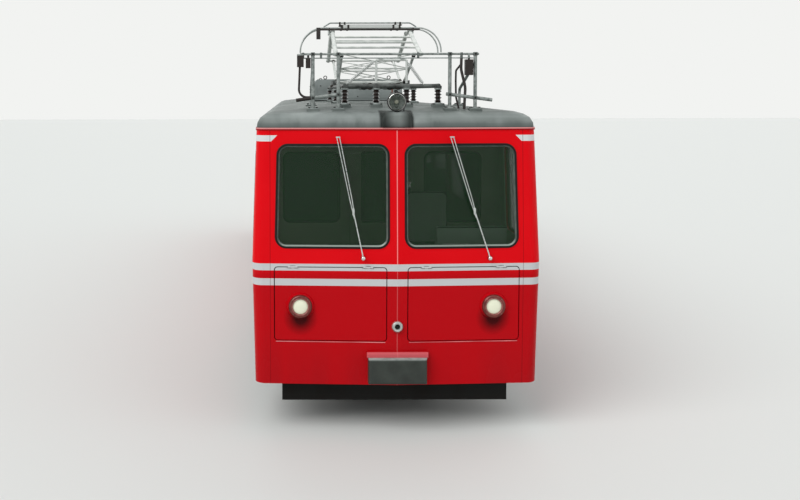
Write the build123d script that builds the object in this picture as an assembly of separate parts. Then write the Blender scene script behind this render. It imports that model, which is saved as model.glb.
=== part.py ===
from build123d import *
import math
import os

os.makedirs("parts", exist_ok=True)

# One metre-gauge rack railcar. Millimetres. X across, Y along the car with the
# cab front towards -Y, Z up. Z 0 is the lowest point of the wheel flanges and the
# origin is midway along the car.

# Wheelsets
tread_radius = 350
flange_height = 28
flange_thickness = 26
wheel_back_to_back = 930
wheel_width = 120
wheel_web = 34
wheel_hub_radius = 95
hub_step = 5
rim_depth = 55
tread_fall = 3
axle_radius = 62
journal_radius = 50
journal_clearance = 0.3
axle_end = 745
axle_end_play = 5
rack_pitch = 100
pinion_teeth = 18
pinion_addendum = 26
pinion_dedendum = 32
pinion_width = 84
pinion_hub_radius = 110
pinion_hub_step = 30
brake_drum_radius = 225
brake_drum_width = 90
brake_drum_wall = 22

# Bogies
wheelbase = 2200
bogie_inset = 2410
beam_width = 90
beam_gap = 70
beam_depth = 100
beam_top = 600
beam_well = 52
beam_belly = 100
beam_end = 280
well_start = 200
well_half = 640
axlebox_half = 120
axlebox_reach = 22
axlebox_bottom = 262
axlebox_corner = 60
axle_cap_radius = 84
axle_cap = 14
spring_radius = 48
spring_wire = 20
spring_coils = 5
spring_seat = 16
spring_offset = 178
transom_half = 170
transom_bottom = 440
motor_radius = 195
motor_length = 560
motor_lap = 10
motor_height = 382
motor_corner = 25
shoe_gap = 8
shoe_thickness = 42
shoe_half_height = 115
shoe_hanger = 36
bearer_x = 600
bearer_radius = 90
bearer_wire = 34
bearer_coils = 4
bearer_gap = 0.3
pivot_radius = 75
pivot_bottom = 432

# Body
car_length = 12520
bumper_reach = 60
rear_reach = 110
skirt_height = 400
belt_height = 1480
joint_height = 2637
skirt_half_width = 1247
belt_half_width = 1272
joint_half_width = 1232
nose_depth = 62
nose_seam = 1110
nose_lean_top = 70
nose_lean_bottom = 25
corner_radius = 100
corner_length = 60
rear_corner_radius = 70
wall = 50
floor_top = 930
floor_thickness = 100
roof_shoulder = 150
roof_crown = 60
roof_shell = 60
gutter_lip = 6
gutter_height = 22
arch_half_length = 1560
arch_height = 610
arch_corner = 120

# Glass
glass = 8
glass_inset = 14
glass_lap = 10
sill_height = 1600
window_head = 187
window_corner = 90
saloon_panes = 4
pane = 1200
pillar = 200
end_window = 850
cab_window_start = 400
rear_window_start = 350
rear_window_inner = 330
rear_window_outer = 980

# Nose
screen_inner = 70
screen_outer_bottom = 1066
screen_outer_top = 1046
screen_bottom = 1610
screen_top = 2514
screen_corner = 95
hatch_inner = 88
hatch_outer = 1078
hatch_bottom = 786
hatch_top = 1446
hatch_corner = 34
hatch_gap = 8
hatch_thickness = 42
knuckle_radius = 8
knuckle_length = 40
lug_length = 22
knuckle_side_gap = 1
knuckle_room = 5
hinge_spread = 330
hinge_pin_radius = 4
hinge_pin_clearance = 0.3
socket_height = 924
socket_radius = 50
socket_wall = 16
socket_length = 36
socket_depth = 26
lamp_x = 846
lamp_height = 1096
lamp_radius = 103
lamp_bore_gap = 0.3
lamp_depth = 105
lamp_neck = 35
lamp_rim = 14
fairing_radius = 130
fairing_reach = 26
fairing_taper = 18
lens_radius = 68
lens_sink = 12
wiper_rod = 7
wiper_blade = 6
wiper_spread = 20
wiper_stand = 46
wiper_boss = 17
bumper_half_width = 255
bumper_bottom = 428
bumper_top = 658
bumper_corner = 24
bumper_gap = 0.3
hood_reach = 45
hood_lap = 12
hood_height = 44
hood_corner = 18

# Doors
door_width = 850
door_leaf = 34
door_gap = 6
door_overlap = 30
door_head = 2500
door_corner = 60
door_stop = 10
front_door_start = 1650
rear_door_start = 1600
door_pane_side = 130
door_pane_bottom = 1500
door_pane_top = 2400
door_pane_corner = 70
track_rise = 12
track_height = 30
track_thickness = 25
roller_radius = 14
roller_length = 30
roller_gap = 0.3
roller_overhang = 3
roller_inset = 150
hanger = 10
hanger_half = 40

# Cab
partition_start = 1450
partition = 40
cab_door_half = 330
cab_door_top = 2350
cab_door_gap = 5
cab_leaf = 36
cab_leaf_inset = 2
cab_pane_inner = 440
cab_pane_outer = 1000
cab_pane_bottom = 1650
cab_pane_top = 2350
cab_pane_corner = 60
cab_door_pane_half = 200
cab_hinge_radius = 8
cab_hinge_inset = 250
cab_hinge_length = 60
cab_lug_length = 30
cab_lug_gap = 2
desk_start = 215
desk_depth = 425
desk_half = 1000
desk_height = 1330
desk_edge = 50
desk_hood = 1590
desk_hood_depth = 125
desk_slope = 130
desk_knee_half = 700
desk_knee_height = 1240
driver_x = 420
driver_start = 1020
driver_seat_height = 430
driver_plinth = 45
driver_foot = 190

# Seats
bench_rows = 5
bench_pitch = 1100
bench_inner = 330
bench_outer = 1115
bench_depth = 420
bench_height = 400
bench_plate = 25
bench_back_plate = 20
cushion = 80
back_height = 620
back_cushion = 60
back_lean = 90
bench_leg = 40
bench_foot = 240
seat_gap = 0.3
seat_inset = 10
pole_radius = 17

# Underframe
sole_bar_inner = 900
sole_bar_outer = 1010
sole_bar_bottom = 672
head_stock_depth = 140
head_stock_bottom = 422
guard_half_width = 1010
guard_bottom = 200
guard_top = 422
guard_bracket_x = 600
guard_bracket_half = 30
guard_bracket_height = 100
guard_plate = 50
bolster_half = 200
bolster_bottom = 712
cross_member = 90
cross_inset = 1900
equipment_bottom = 392
equipment_wheel_gap = 900
equipment_inner = 300
equipment_outer = 1080
equipment_corner = 40
equipment_hanger = 60
toe_inset = 30
reservoir_radius = 130
reservoir_height = 520
reservoir_length = 1500
reservoir_strap = 40
drawbar_height = 520
drawbar_half_width = 60
drawbar_thickness = 60
drawbar_gap = 12
drawbar_length = 260
eye_radius = 80
coupling_bore = 25

# Roof gear, with the pantograph half raised as in service
arm_length = 960
arm_angle = 18
shaft_spacing = 320
tube_radius = 16
pin_radius = 12
pin_clearance = 0.4
open_pivot_clearance = 1.5
lower_arm_x = 385
upper_arm_x = 450
arm_eye_half = 15
arm_side_gap = 13
shaft_radius = 14
shaft_tube = 20
shaft_rise = 50
bearing_inner = 412
bearing_outer = 448
bearing_half = 28
strip_spacing = 240
strip_rise = 46
strip_half = 330
strip_width = 34
strip_height = 34
bar_radius = 9
horn_reach = 820
horn_drop = 285
horn_bend = 270
pan_start = 3000
base_overhang = 40
spring_case_radius = 30
spring_case_length = 620
spring_case_gap = 160
knee_frame_rise = 238
knee_frame_leg = 11
insulator_setback = 230
insulator_pitch = 1770
base_rail_x = 430
base_rail_radius = 20
inner_insulator_x = 140
insulator_height = 150
insulator_shed = 36
insulator_core = 22
insulator_cap = 14
shed_count = 4
pad_half = 55
pad_rise = 10
case_length = 2600
case_offset = 200
case_half = 620
case_height = 3150
case_shoulder = 60
louvre_bays = 5
louvre_rows = 5
louvre_length = 420
louvre_slot = 14
louvre_depth = 18
louvre_pitch = 30
gantry_start = 330
gantry_outer = 728
gantry_inner = 500
gantry_bar_height = 3310
gantry_tube = 16
gantry_bar = 10
gantry_stay = 14
gantry_left_end = 840
gantry_right_end = 760
gantry_low_height = 2925
gantry_low_fall = 55
gantry_low_end = 880
gantry_reach_in = 160
guard_rod_bend = 70
stay_length = 800
stay_rise = 150
stay_bend = 60
roof_lamp_radius = 87
roof_lamp_length = 120
lamp_fairing_half = 132
lamp_fairing_top = 2790
lamp_fairing_inset = 6
lamp_fairing_corner = 30
roof_lamp_rim = 10
roof_lamp_lift = 8
roof_lamp_foot = 34
foot_inset = 200

# Heights are given above the rail head, and the rail head lies here.
rail = flange_height
axle_height = rail + tread_radius

front = -car_length / 2 + bumper_reach
rear = car_length / 2 - rear_reach
skirt_z = rail + skirt_height
belt_z = rail + belt_height
joint_z = rail + joint_height
floor_z = rail + floor_top
floor_under = floor_z - floor_thickness
bogie_y = car_length / 2 - bogie_inset
bogie_places = (-bogie_y, bogie_y)
nose_slope = nose_depth / nose_seam
nose_angle = math.degrees(math.atan(nose_slope))


def box(x0, x1, y0, y1, z0, z1):
    """A block between two corners."""
    block = Box(x1 - x0, y1 - y0, z1 - z0)
    return Pos((x0 + x1) / 2, (y0 + y1) / 2, (z0 + z1) / 2) * block


def rod(start, end, radius):
    """A round bar from one point to another."""
    start, end = Vector(*start), Vector(*end)
    run = end - start
    plane = Plane(origin=start, z_dir=run)
    return plane * Cylinder(radius, run.length, align=(Align.CENTER, Align.CENTER, Align.MIN))


def bent_rod(points, radius, bend):
    """A round bar along straight runs with equal bends."""
    path = FilletPolyline(*points, radius=bend)
    return sweep(Plane(origin=path @ 0, z_dir=path % 0) * Circle(radius), path=path)


def drum(centre, radius, width, axis):
    """A disc or roller centred on a point, with its axis along X, Y or Z."""
    turn = {"x": Rot(0, 90, 0), "y": Rot(90, 0, 0), "z": Rot(0, 0, 0)}[axis]
    return Pos(*centre) * turn * Cylinder(radius, width)


def turned(points):
    """A turned solid about Z from its radii and heights."""
    return revolve(Plane.XZ * make_face(Polyline(*points, close=True)), Axis.Z)


def ringed_post(radius, wire, height, rings):
    """A coil spring or a bellows drawn as a turned post with a ring for each coil."""
    points = [(0, 0)]
    for ring in range(rings):
        low = height * ring / rings
        high = height * (ring + 1) / rings
        points += [
            (radius - wire / 2, low),
            (radius, low + (high - low) / 4),
            (radius, high - (high - low) / 4),
        ]
    return turned(points + [(radius - wire / 2, height), (0, height)])


def mirrored(shape):
    """The same shape on the other side of the car."""
    return mirror(shape, Plane.YZ)


def save(shape, name):
    """Write one piece, as loose solids where it has several."""
    export_step(shape, f"parts/{name}.step")


def join(pieces):
    """One shape made of pieces that may or may not touch."""
    whole = pieces[0]
    for piece in pieces[1:]:
        whole = whole + piece
    return whole


def group(pieces):
    """Separate solids kept side by side in one node."""
    solids = [solid for piece in pieces for solid in piece.solids()]
    return Compound(children=solids)


# Body sections from the skirt up: name, height, half width, set-back of the nose.
body_sections = (
    ("skirt", skirt_z, skirt_half_width, nose_lean_bottom),
    ("belt", belt_z, belt_half_width, 0),
    ("joint", joint_z, joint_half_width, nose_lean_top),
)


def plan(z, half_width, set_back, inset, radius):
    """The body's outline at one height: a shallow vee in front, round corners, a flat rear."""
    x = half_width - inset
    y = front + set_back + inset
    y_side = y + nose_slope * x
    y_rear = rear - inset
    outline = Polyline(
        (0, y), (x, y_side), (x, y_rear), (-x, y_rear), (-x, y_side), close=True
    )
    face = make_face(outline)
    front_corners = [v for v in face.vertices() if abs(v.Y - y_side) < 1]
    face = fillet(front_corners, radius)
    rear_corners = [v for v in face.vertices() if abs(v.Y - y_rear) < 1]
    face = fillet(rear_corners, radius * rear_corner_radius / corner_radius)
    return Pos(0, 0, z) * face


def at_height(z, column):
    """The half width (2) or nose set-back (3) at a height, from the body's sections."""
    low, high = body_sections[:2] if z < belt_z else body_sections[1:]
    share = (z - low[1]) / (high[1] - low[1])
    return low[column] + share * (high[column] - low[column])


def nose_y(x, z):
    """The outer face of the nose at a place across and a height."""
    return front + at_height(z, 3) + nose_slope * abs(x)


def levels(z0, z1):
    """The heights where an outline between two heights has corners."""
    return [z0] + ([belt_z] if z0 < belt_z < z1 else []) + [z1]


def side_strip(y0, y1, z0, z1, inset, thickness):
    """A length of the right side wall or of a layer within it."""
    outer_line = [(at_height(z, 2) - inset, z) for z in levels(z0, z1)]
    inner_line = [(x - thickness, z) for x, z in reversed(outer_line)]
    face = Plane.XZ * make_face(Polyline(*outer_line, *inner_line, close=True))
    return Pos(0, y1, 0) * extrude(face, amount=y1 - y0)


def nose_strip(x1, z0, z1, inset, thickness):
    """The right half of the nose wall, or of a layer within it, out to a place across."""
    outer_line = [(front + at_height(z, 3) + inset, z) for z in levels(z0, z1)]
    inner_line = [(y + thickness, z) for y, z in reversed(outer_line)]
    face = Plane.YZ * make_face(Polyline(*outer_line, *inner_line, close=True))
    reach = x1 * math.hypot(1, nose_slope)
    return extrude(face, amount=reach, dir=(1, nose_slope, 0))


def cross_wall(z0, z1, inset, thickness):
    """A wall across the car that fills the body's section between two heights."""
    half = [(at_height(z, 2) - inset, z) for z in levels(z0, z1)]
    outline = half + [(-x, z) for x, z in reversed(half)]
    return extrude(Plane.XZ * make_face(Polyline(*outline, close=True)), amount=-thickness)


post_y = front + nose_depth + nose_lean_top + corner_radius + corner_length
wall_end = rear - wall
deep = 400


def post_section(z):
    """The right corner post at one height: flat on the nose, round the corner, flat on the side."""
    x_out = at_height(z, 2)
    face = make_face(
        Polyline(
            (nose_seam, nose_y(nose_seam, z)),
            (x_out, nose_y(x_out, z)),
            (x_out, post_y),
            (x_out - wall, post_y),
            (x_out - wall, nose_y(x_out - wall, z) + wall),
            (nose_seam, nose_y(nose_seam, z) + wall),
            close=True,
        )
    )
    outer_corner = [v for v in face.vertices() if v.X > x_out - 1 and v.Y < post_y - 1]
    face = fillet(outer_corner, corner_radius)
    inner_corner = [v for v in face.vertices() if abs(v.X - x_out + wall) < 1 and v.Y < post_y - 1]
    face = fillet(inner_corner, corner_radius - wall)
    return Pos(0, 0, z) * face


def side_opening(y0, y1, z0, z1, radius):
    """A prism through one or both side walls, with round corners."""
    outline = RectangleRounded(y1 - y0, z1 - z0, radius)
    place = Plane(origin=(0, (y0 + y1) / 2, (z0 + z1) / 2), x_dir=(0, 1, 0), z_dir=(1, 0, 0))
    return extrude(place * outline, amount=belt_half_width + deep)


# Doors: name, front edge of the opening, way that the leaf slides.
side_doors = (
    ("front", front + front_door_start, 1),
    ("rear", rear - rear_door_start - door_width, -1),
)
saloon_middle = (side_doors[0][1] + side_doors[1][1] + door_width) / 2

# Side windows: name, front edge, rear edge.
first_pane = saloon_middle - (saloon_panes * pane + (saloon_panes - 1) * pillar) / 2
cab_pane = front + cab_window_start
rear_pane = rear - rear_window_start
side_windows = [("cab", cab_pane, cab_pane + end_window)]
for number in range(saloon_panes):
    start = first_pane + number * (pane + pillar)
    side_windows.append((f"saloon_{number}", start, start + pane))
side_windows.append(("rear", rear_pane - end_window, rear_pane))

window_z = (rail + sill_height, joint_z - window_head)
window_prisms = [side_opening(y0, y1, *window_z, window_corner) for name, y0, y1 in side_windows]
door_prisms = [
    side_opening(y0, y0 + door_width, floor_z, rail + door_head, door_corner)
    for name, y0, slide in side_doors
]
arches = [
    side_opening(y - arch_half_length, y + arch_half_length, skirt_z - deep, rail + arch_height, arch_corner)
    for y in bogie_places
]

# Side walls with their corner posts and the door tracks
leaf_inset = wall + door_gap
leaf_top = rail + door_head + door_overlap
track_z = leaf_top + track_rise
door_travel = door_width - door_stop
side_wall = side_strip(post_y, wall_end, skirt_z, joint_z, 0, wall) - (window_prisms + door_prisms + arches)
side_wall = side_wall + loft([post_section(z) for name, z, x, y in body_sections], ruled=True)
for name, y0, slide in side_doors:
    ends = (y0, y0 + door_width, y0 + slide * door_travel, y0 + door_width + slide * door_travel)
    track_ends = (min(ends) - door_overlap, max(ends) + door_overlap)
    side_wall = side_wall + side_strip(*track_ends, track_z, track_z + track_height, wall, track_thickness)
save(side_wall, "side_wall_right")
save(mirrored(side_wall), "side_wall_left")

strip_z_ends = (window_z[0] - glass_lap, window_z[1] + glass_lap)
pane_strip = side_strip(post_y, wall_end, *strip_z_ends, glass_inset, glass)
side_panes = [pane_strip & prism for prism in window_prisms]

# Rear wall with two fixed windows and a slot for the drawbar
drawbar_eye_y = car_length / 2 - eye_radius
drawbar_root = rear - drawbar_length
drawbar_z = rail + drawbar_height
rear_end = Pos(0, wall_end, 0) * cross_wall(skirt_z, joint_z, 0, wall)
rear_panes = []
rear_pane_width = rear_window_outer - rear_window_inner
rear_outline = RectangleRounded(rear_pane_width, window_z[1] - window_z[0], window_corner)
for side in (-1, 1):
    middle = (side * (rear_window_inner + rear_window_outer) / 2, rear, sum(window_z) / 2)
    place = Plane(origin=middle, x_dir=(1, 0, 0), z_dir=(0, -1, 0))
    rear_end = rear_end - extrude(place * rear_outline, amount=wall)
    rear_panes.append(Pos(0, -glass_inset, 0) * extrude(place * rear_outline, amount=glass))
slot_half = eye_radius + drawbar_gap
slot_rise = drawbar_thickness / 2 + drawbar_gap
rear_end = rear_end - box(-slot_half, slot_half, wall_end, rear, drawbar_z - slot_rise, drawbar_z + slot_rise)
save(rear_end, "rear_end")
save(group(side_panes + [mirrored(p) for p in side_panes] + rear_panes), "window_glass")

nose_back = front + nose_depth + nose_lean_top + wall + bumper_reach


def front_prism(points, radius):
    """A prism along Y through the nose, from an outline in X and Z with round corners."""
    face = make_face(Polyline(*points, close=True))
    face = fillet(face.vertices(), radius)
    return Pos(0, nose_back + deep, 0) * extrude(Plane.XZ * face, amount=3 * deep)


def upright(x0, x1, z0, z1):
    """The corners of a rectangle seen from the front."""
    return ((x0, z0), (x1, z0), (x1, z1), (x0, z1))


# Front end with two windscreens, two hatch openings and the bumper opening
screen_points = (
    (screen_inner, rail + screen_bottom),
    (screen_outer_bottom, rail + screen_bottom),
    (screen_outer_top, rail + screen_top),
    (screen_inner, rail + screen_top),
)
hatch_points = upright(hatch_inner, hatch_outer, rail + hatch_bottom, rail + hatch_top)
hatch_panel_points = upright(
    hatch_inner + hatch_gap,
    hatch_outer - hatch_gap,
    rail + hatch_bottom + hatch_gap,
    rail + hatch_top - hatch_gap,
)
screen_prism = front_prism(screen_points, screen_corner)
nose_half = nose_strip(nose_seam, skirt_z, joint_z, 0, wall) - screen_prism
nose_half = nose_half - front_prism(hatch_points, hatch_corner)
bumper_room = box(
    -bumper_gap,
    bumper_half_width + bumper_gap,
    front - deep,
    nose_back,
    rail + bumper_bottom - bumper_gap,
    rail + bumper_top + bumper_gap,
)
nose_half = nose_half - bumper_room
hood_y = nose_y(0, rail + bumper_top)
hood = box(
    0,
    bumper_half_width + hood_lap,
    hood_y - hood_reach,
    hood_y + wall / 2,
    rail + bumper_top + bumper_gap,
    rail + bumper_top + hood_height,
)
hood_edges = hood.edges().filter_by(Axis.X).group_by(Axis.Y)[0].group_by(Axis.Z)[-1]
nose_half = nose_half + fillet(hood_edges, hood_corner)

# Hinges of the hatches: knuckles on the top edge, on the outer skin
hinge_z = rail + hatch_top - hatch_gap / 2
hinge_mid = (hatch_inner + hatch_outer) / 2
hinge_y = nose_y(hinge_mid, hinge_z)


def along_hinge(offset, radius, length):
    """A disc on the right hatch's hinge line, so far from its middle."""
    place = Pos(hinge_mid, hinge_y, hinge_z) * Rot(0, 0, nose_angle)
    return place * Pos(offset, 0, 0) * Rot(0, 90, 0) * Cylinder(radius, length)


hatch = nose_strip(nose_seam, skirt_z, belt_z, 0, hatch_thickness)
hatch = hatch & front_prism(hatch_panel_points, hatch_corner - hatch_gap)
lug_reach = knuckle_length / 2 + knuckle_side_gap + lug_length / 2
room_radius = knuckle_radius + knuckle_room
eye_room_length = knuckle_length + 2 * knuckle_side_gap
lug_room_length = lug_length + 2 * knuckle_side_gap + 2 * knuckle_room
for offset in (-hinge_spread, hinge_spread):
    nose_half = nose_half - along_hinge(offset, room_radius, eye_room_length)
    nose_half = nose_half + along_hinge(offset, hinge_pin_radius, 2 * lug_reach)
    for side in (-1, 1):
        lug_place = offset + side * lug_reach
        nose_half = nose_half + along_hinge(lug_place, knuckle_radius, lug_length)
        hatch = hatch - along_hinge(lug_place, room_radius, lug_room_length)
    hatch = hatch + along_hinge(offset, knuckle_radius, knuckle_length)
    hatch = hatch - along_hinge(offset, hinge_pin_radius + hinge_pin_clearance, 2 * knuckle_length)

# Round towing socket on the centre line
socket_z = rail + socket_height
socket_y = nose_y(0, socket_z)
socket = drum((0, socket_y, socket_z), socket_radius, socket_length, "y")
socket_floor = socket_y - socket_length / 2 + socket_depth
socket = socket - rod(
    (0, socket_floor - socket_length, socket_z), (0, socket_floor, socket_z), socket_radius - socket_wall
)
save(nose_half + mirrored(nose_half) + socket, "front_end")

screen_pane = nose_strip(nose_seam, skirt_z, joint_z, glass_inset, glass) & screen_prism
save(group([screen_pane, mirrored(screen_pane)]), "windscreens")

# Headlights in faired housings on the hatches
lamp_z = rail + lamp_height
lamp_place = Pos(lamp_x, nose_y(lamp_x, lamp_z), lamp_z) * Rot(90, 0, 0)
fairing_disc = extrude(
    Circle(fairing_radius), amount=hatch_thickness / 2 + fairing_reach, taper=fairing_taper
)
hatch = hatch + lamp_place * Pos(0, 0, -hatch_thickness / 2) * fairing_disc
hatch = hatch - lamp_place * Cylinder(lamp_radius + lamp_bore_gap, 3 * lamp_depth)
save(hatch, "hatch_right")
save(mirrored(hatch), "hatch_left")

rim_top = fairing_reach + lamp_rim
headlight = turned(
    (
        (0, rim_top),
        (lens_radius, rim_top - lens_sink),
        (lens_radius + lamp_rim / 2, rim_top),
        (lamp_radius - lamp_rim / 2, rim_top),
        (lamp_radius, rim_top - lamp_rim / 2),
        (lamp_radius, -hatch_thickness),
        (lamp_radius - lamp_neck, -lamp_depth),
        (0, -lamp_depth),
    )
)
save(lamp_place * headlight, "headlight_right")
save(mirrored(lamp_place * headlight), "headlight_left")

# Bumper box with its draw gear block behind the nose
bumper_back = nose_back + 4 * drawbar_half_width
bumper_box = box(
    -bumper_half_width,
    bumper_half_width,
    -car_length / 2,
    bumper_back,
    rail + bumper_bottom,
    rail + bumper_top,
)
save(fillet(bumper_box.edges().group_by(Axis.Y)[0], bumper_corner), "bumper_box")

# Rear drawbar: a flat bar with an eye, on the rear headstock
drawbar = box(
    -drawbar_half_width,
    drawbar_half_width,
    drawbar_root,
    drawbar_eye_y,
    drawbar_z - drawbar_thickness / 2,
    drawbar_z + drawbar_thickness / 2,
)
drawbar = drawbar + drum((0, drawbar_eye_y, drawbar_z), eye_radius, drawbar_thickness, "z")
drawbar = drawbar - drum((0, drawbar_eye_y, drawbar_z), coupling_bore, 2 * drawbar_thickness, "z")
save(drawbar, "rear_drawbar")

# Roof sections from the gutter up: name, share of the shoulder's rise, share of the crown's rise, inset.
roof_sections = (
    ("gutter", 0, 0, 0),
    ("side", 0.41, 0, 7),
    ("turn", 0.72, 0, 32),
    ("shoulder", 0.93, 0, 80),
    ("edge", 1, 0.17, 150),
    ("crown", 1, 0.75, 450),
    ("ridge", 1, 1, 820),
)
roof_top = joint_z + roof_shoulder + roof_crown


def roof_rise(section, shell):
    """How high a section of the roof stands over the joint, for the outer face or so far inside it."""
    rise = section[1] * roof_shoulder + section[2] * roof_crown
    return rise - shell * rise / (roof_shoulder + roof_crown)


def roof_solid(inset, shell):
    """The roof's form, smaller all round by an inset and lower by a shell."""
    faces = [
        plan(joint_z + roof_rise(s, shell), joint_half_width, nose_lean_top, s[3] + inset, corner_radius)
        for s in roof_sections
    ]
    return loft(faces, ruled=True)


def roof_z(x, y, inset, shell):
    """The height of the roof's outer face, or of its lining, at a place."""
    inward = min(joint_half_width - abs(x), y - nose_y(x, joint_z), rear - y) - inset
    for low, high in zip(roof_sections, roof_sections[1:]):
        if inward <= high[3]:
            share = (inward - low[3]) / (high[3] - low[3])
            return joint_z + (1 - share) * roof_rise(low, shell) + share * roof_rise(high, shell)
    return joint_z + roof_rise(roof_sections[-1], shell)


gantry_y = front + gantry_start
stay_y = gantry_y + stay_length
pan_y = front + pan_start
case_y = (case_offset - case_length / 2, case_offset + case_length / 2)
front_row = gantry_y + insulator_setback
insulator_rows = (front_row, front_row + insulator_pitch, front_row + 2 * insulator_pitch)
insulator_pad_top = roof_top + pad_rise


def pad_top(x, y):
    """The flat top of a gantry post's or a stay's pad."""
    inner = x - pad_half
    return max(roof_z(inner, y, 0, 0), roof_z(inner, y + pad_half, 0, 0)) + pad_rise


# Supports on the roof: place across, place along, top of the pad.
insulator_places = [(base_rail_x, y) for y in insulator_rows] + [(inner_insulator_x, front_row)]
gantry_feet = [(gantry_outer, gantry_y), (gantry_inner, gantry_y), (gantry_outer, stay_y)]
case_feet = [(case_half - pad_half, case_y[0] + foot_inset), (case_half - pad_half, case_y[1] - foot_inset)]
supports = [(x, y, pad_top(x, y)) for x, y in gantry_feet]
supports += [(x, y, insulator_pad_top) for x, y in insulator_places + case_feet]

lamp_fairing_z = rail + lamp_fairing_top
roof = roof_solid(0, 0)
pad_root = joint_z + roof_shoulder - roof_shell / 2
for x, y, top in supports:
    pad = box(x - pad_half, x + pad_half, y - pad_half, y + pad_half, pad_root, top)
    roof = roof + pad + mirrored(pad)
lamp_fairing = box(
    -lamp_fairing_half,
    lamp_fairing_half,
    front + nose_lean_top + lamp_fairing_inset,
    gantry_y,
    joint_z + gutter_height,
    lamp_fairing_z,
)
roof = roof + fillet(lamp_fairing.edges().group_by(Axis.Y)[0].group_by(Axis.Z)[-1], lamp_fairing_corner)
roof = roof - roof_solid(wall, roof_shell)
gutter_face = plan(joint_z, joint_half_width + gutter_lip, nose_lean_top - gutter_lip, 0, corner_radius)
gutter_room = plan(joint_z, joint_half_width, nose_lean_top, gutter_lip, corner_radius)
roof = roof + (extrude(gutter_face, amount=gutter_height) - extrude(gutter_room, amount=gutter_height))
save(roof, "roof")

# Floor, with a toe that reaches into the nose
floor = Pos(0, post_y, 0) * cross_wall(floor_under, floor_z, wall, wall_end - post_y)
toe = nose_seam - toe_inset
toe_gap = wall + seat_gap
toe_front = nose_y(0, floor_under) + toe_gap
toe_side = nose_y(toe, floor_under) + toe_gap
toe_plan = make_face(
    Polyline((0, toe_front), (toe, toe_side), (toe, post_y), (-toe, post_y), (-toe, toe_side), close=True)
)
floor = floor + Pos(0, 0, floor_under) * extrude(toe_plan, amount=floor_thickness)
save(floor, "floor")

# Underframe: sole bars, headstocks, cross members, bolsters with pivots, and the obstacle guard
sole_z = rail + sole_bar_bottom
stock_z = rail + head_stock_bottom
bolster_z = rail + bolster_bottom
under = [
    box(-sole_bar_outer, sole_bar_outer, y, y + head_stock_depth, stock_z, floor_under)
    for y in (bumper_back, drawbar_root - head_stock_depth)
]
for side in (-1, 1):
    x0, x1 = sorted((side * sole_bar_inner, side * sole_bar_outer))
    under.append(box(x0, x1, bumper_back, drawbar_root, sole_z, floor_under))
guard_y = (nose_back, nose_back + guard_plate)
guard_top_z = rail + guard_top
under.append(box(-guard_half_width, guard_half_width, *guard_y, rail + guard_bottom, guard_top_z))
for x in (-guard_bracket_x, guard_bracket_x):
    bracket_x = (x - guard_bracket_half, x + guard_bracket_half)
    bracket_end = bumper_back + guard_plate
    bracket_z = guard_top_z - guard_bracket_height
    under.append(box(*bracket_x, guard_y[1], bracket_end, bracket_z, guard_top_z))
    under.append(box(*bracket_x, bumper_back, bracket_end, bracket_z, stock_z + guard_plate))
beam_x = (-sole_bar_inner, sole_bar_inner)
for y in (cross_inset - bogie_y, 0, bogie_y - cross_inset):
    under.append(box(*beam_x, y - cross_member / 2, y + cross_member / 2, bolster_z, floor_under))
for y in bogie_places:
    under.append(box(*beam_x, y - bolster_half, y + bolster_half, bolster_z, floor_under))
    under.append(rod((0, y, rail + pivot_bottom), (0, y, bolster_z), pivot_radius))

# Air reservoir on the centre line, hung by two straps
reservoir_z = rail + reservoir_height
reservoir = drum((0, 0, reservoir_z), reservoir_radius, reservoir_length, "y")
under.append(fillet(reservoir.edges(), reservoir_radius / 2))
for y in (-reservoir_length / 4, reservoir_length / 4):
    strap_y = (y - reservoir_strap / 2, y + reservoir_strap / 2)
    under.append(drum((0, y, reservoir_z), reservoir_radius + pad_rise, reservoir_strap, "y"))
    under.append(box(-reservoir_strap, reservoir_strap, *strap_y, reservoir_z, floor_under))

# Equipment cases between the bogies: side of the car, front, rear.
equipment_end = bogie_y - wheelbase / 2 - equipment_wheel_gap
equipment_cases = (
    (1, -equipment_end, -350),
    (1, -150, equipment_end),
    (-1, -equipment_end, 250),
    (-1, 450, equipment_end),
)
for side, y0, y1 in equipment_cases:
    x0, x1 = sorted((side * equipment_inner, side * equipment_outer))
    case = box(x0, x1, y0, y1, rail + equipment_bottom, sole_z)
    under.append(fillet(case.edges().filter_by(Axis.Y).group_by(Axis.Z)[0], equipment_corner))
    hanger_x = (x0 + equipment_hanger, x1 - equipment_hanger)
    under.append(box(*hanger_x, y0 + equipment_hanger, y1 - equipment_hanger, sole_z, floor_under))
save(join(under), "underframe")

# Bogies: a frame with sprung outside axleboxes and two motors
wheel_in = wheel_back_to_back / 2
wheel_out = wheel_in + wheel_width
flange_bevel = flange_thickness / 3
shoe_x = (wheel_in + 4 * flange_bevel + shoe_gap, wheel_out)
shoe_radius = tread_radius + shoe_gap
beam_inner = wheel_out + beam_gap
beam_outer = beam_inner + beam_width
beam_bottom = beam_top - beam_depth
beam_reach = wheelbase / 2 + beam_end
well_y = wheelbase / 2 - well_start
beam_half_outline = (
    (beam_reach, beam_bottom),
    (beam_reach, beam_top),
    (well_y, beam_top),
    (well_half, beam_top - beam_well),
)
beam_under_outline = (
    (well_half, beam_bottom - beam_belly),
    (well_y, beam_bottom),
)


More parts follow.
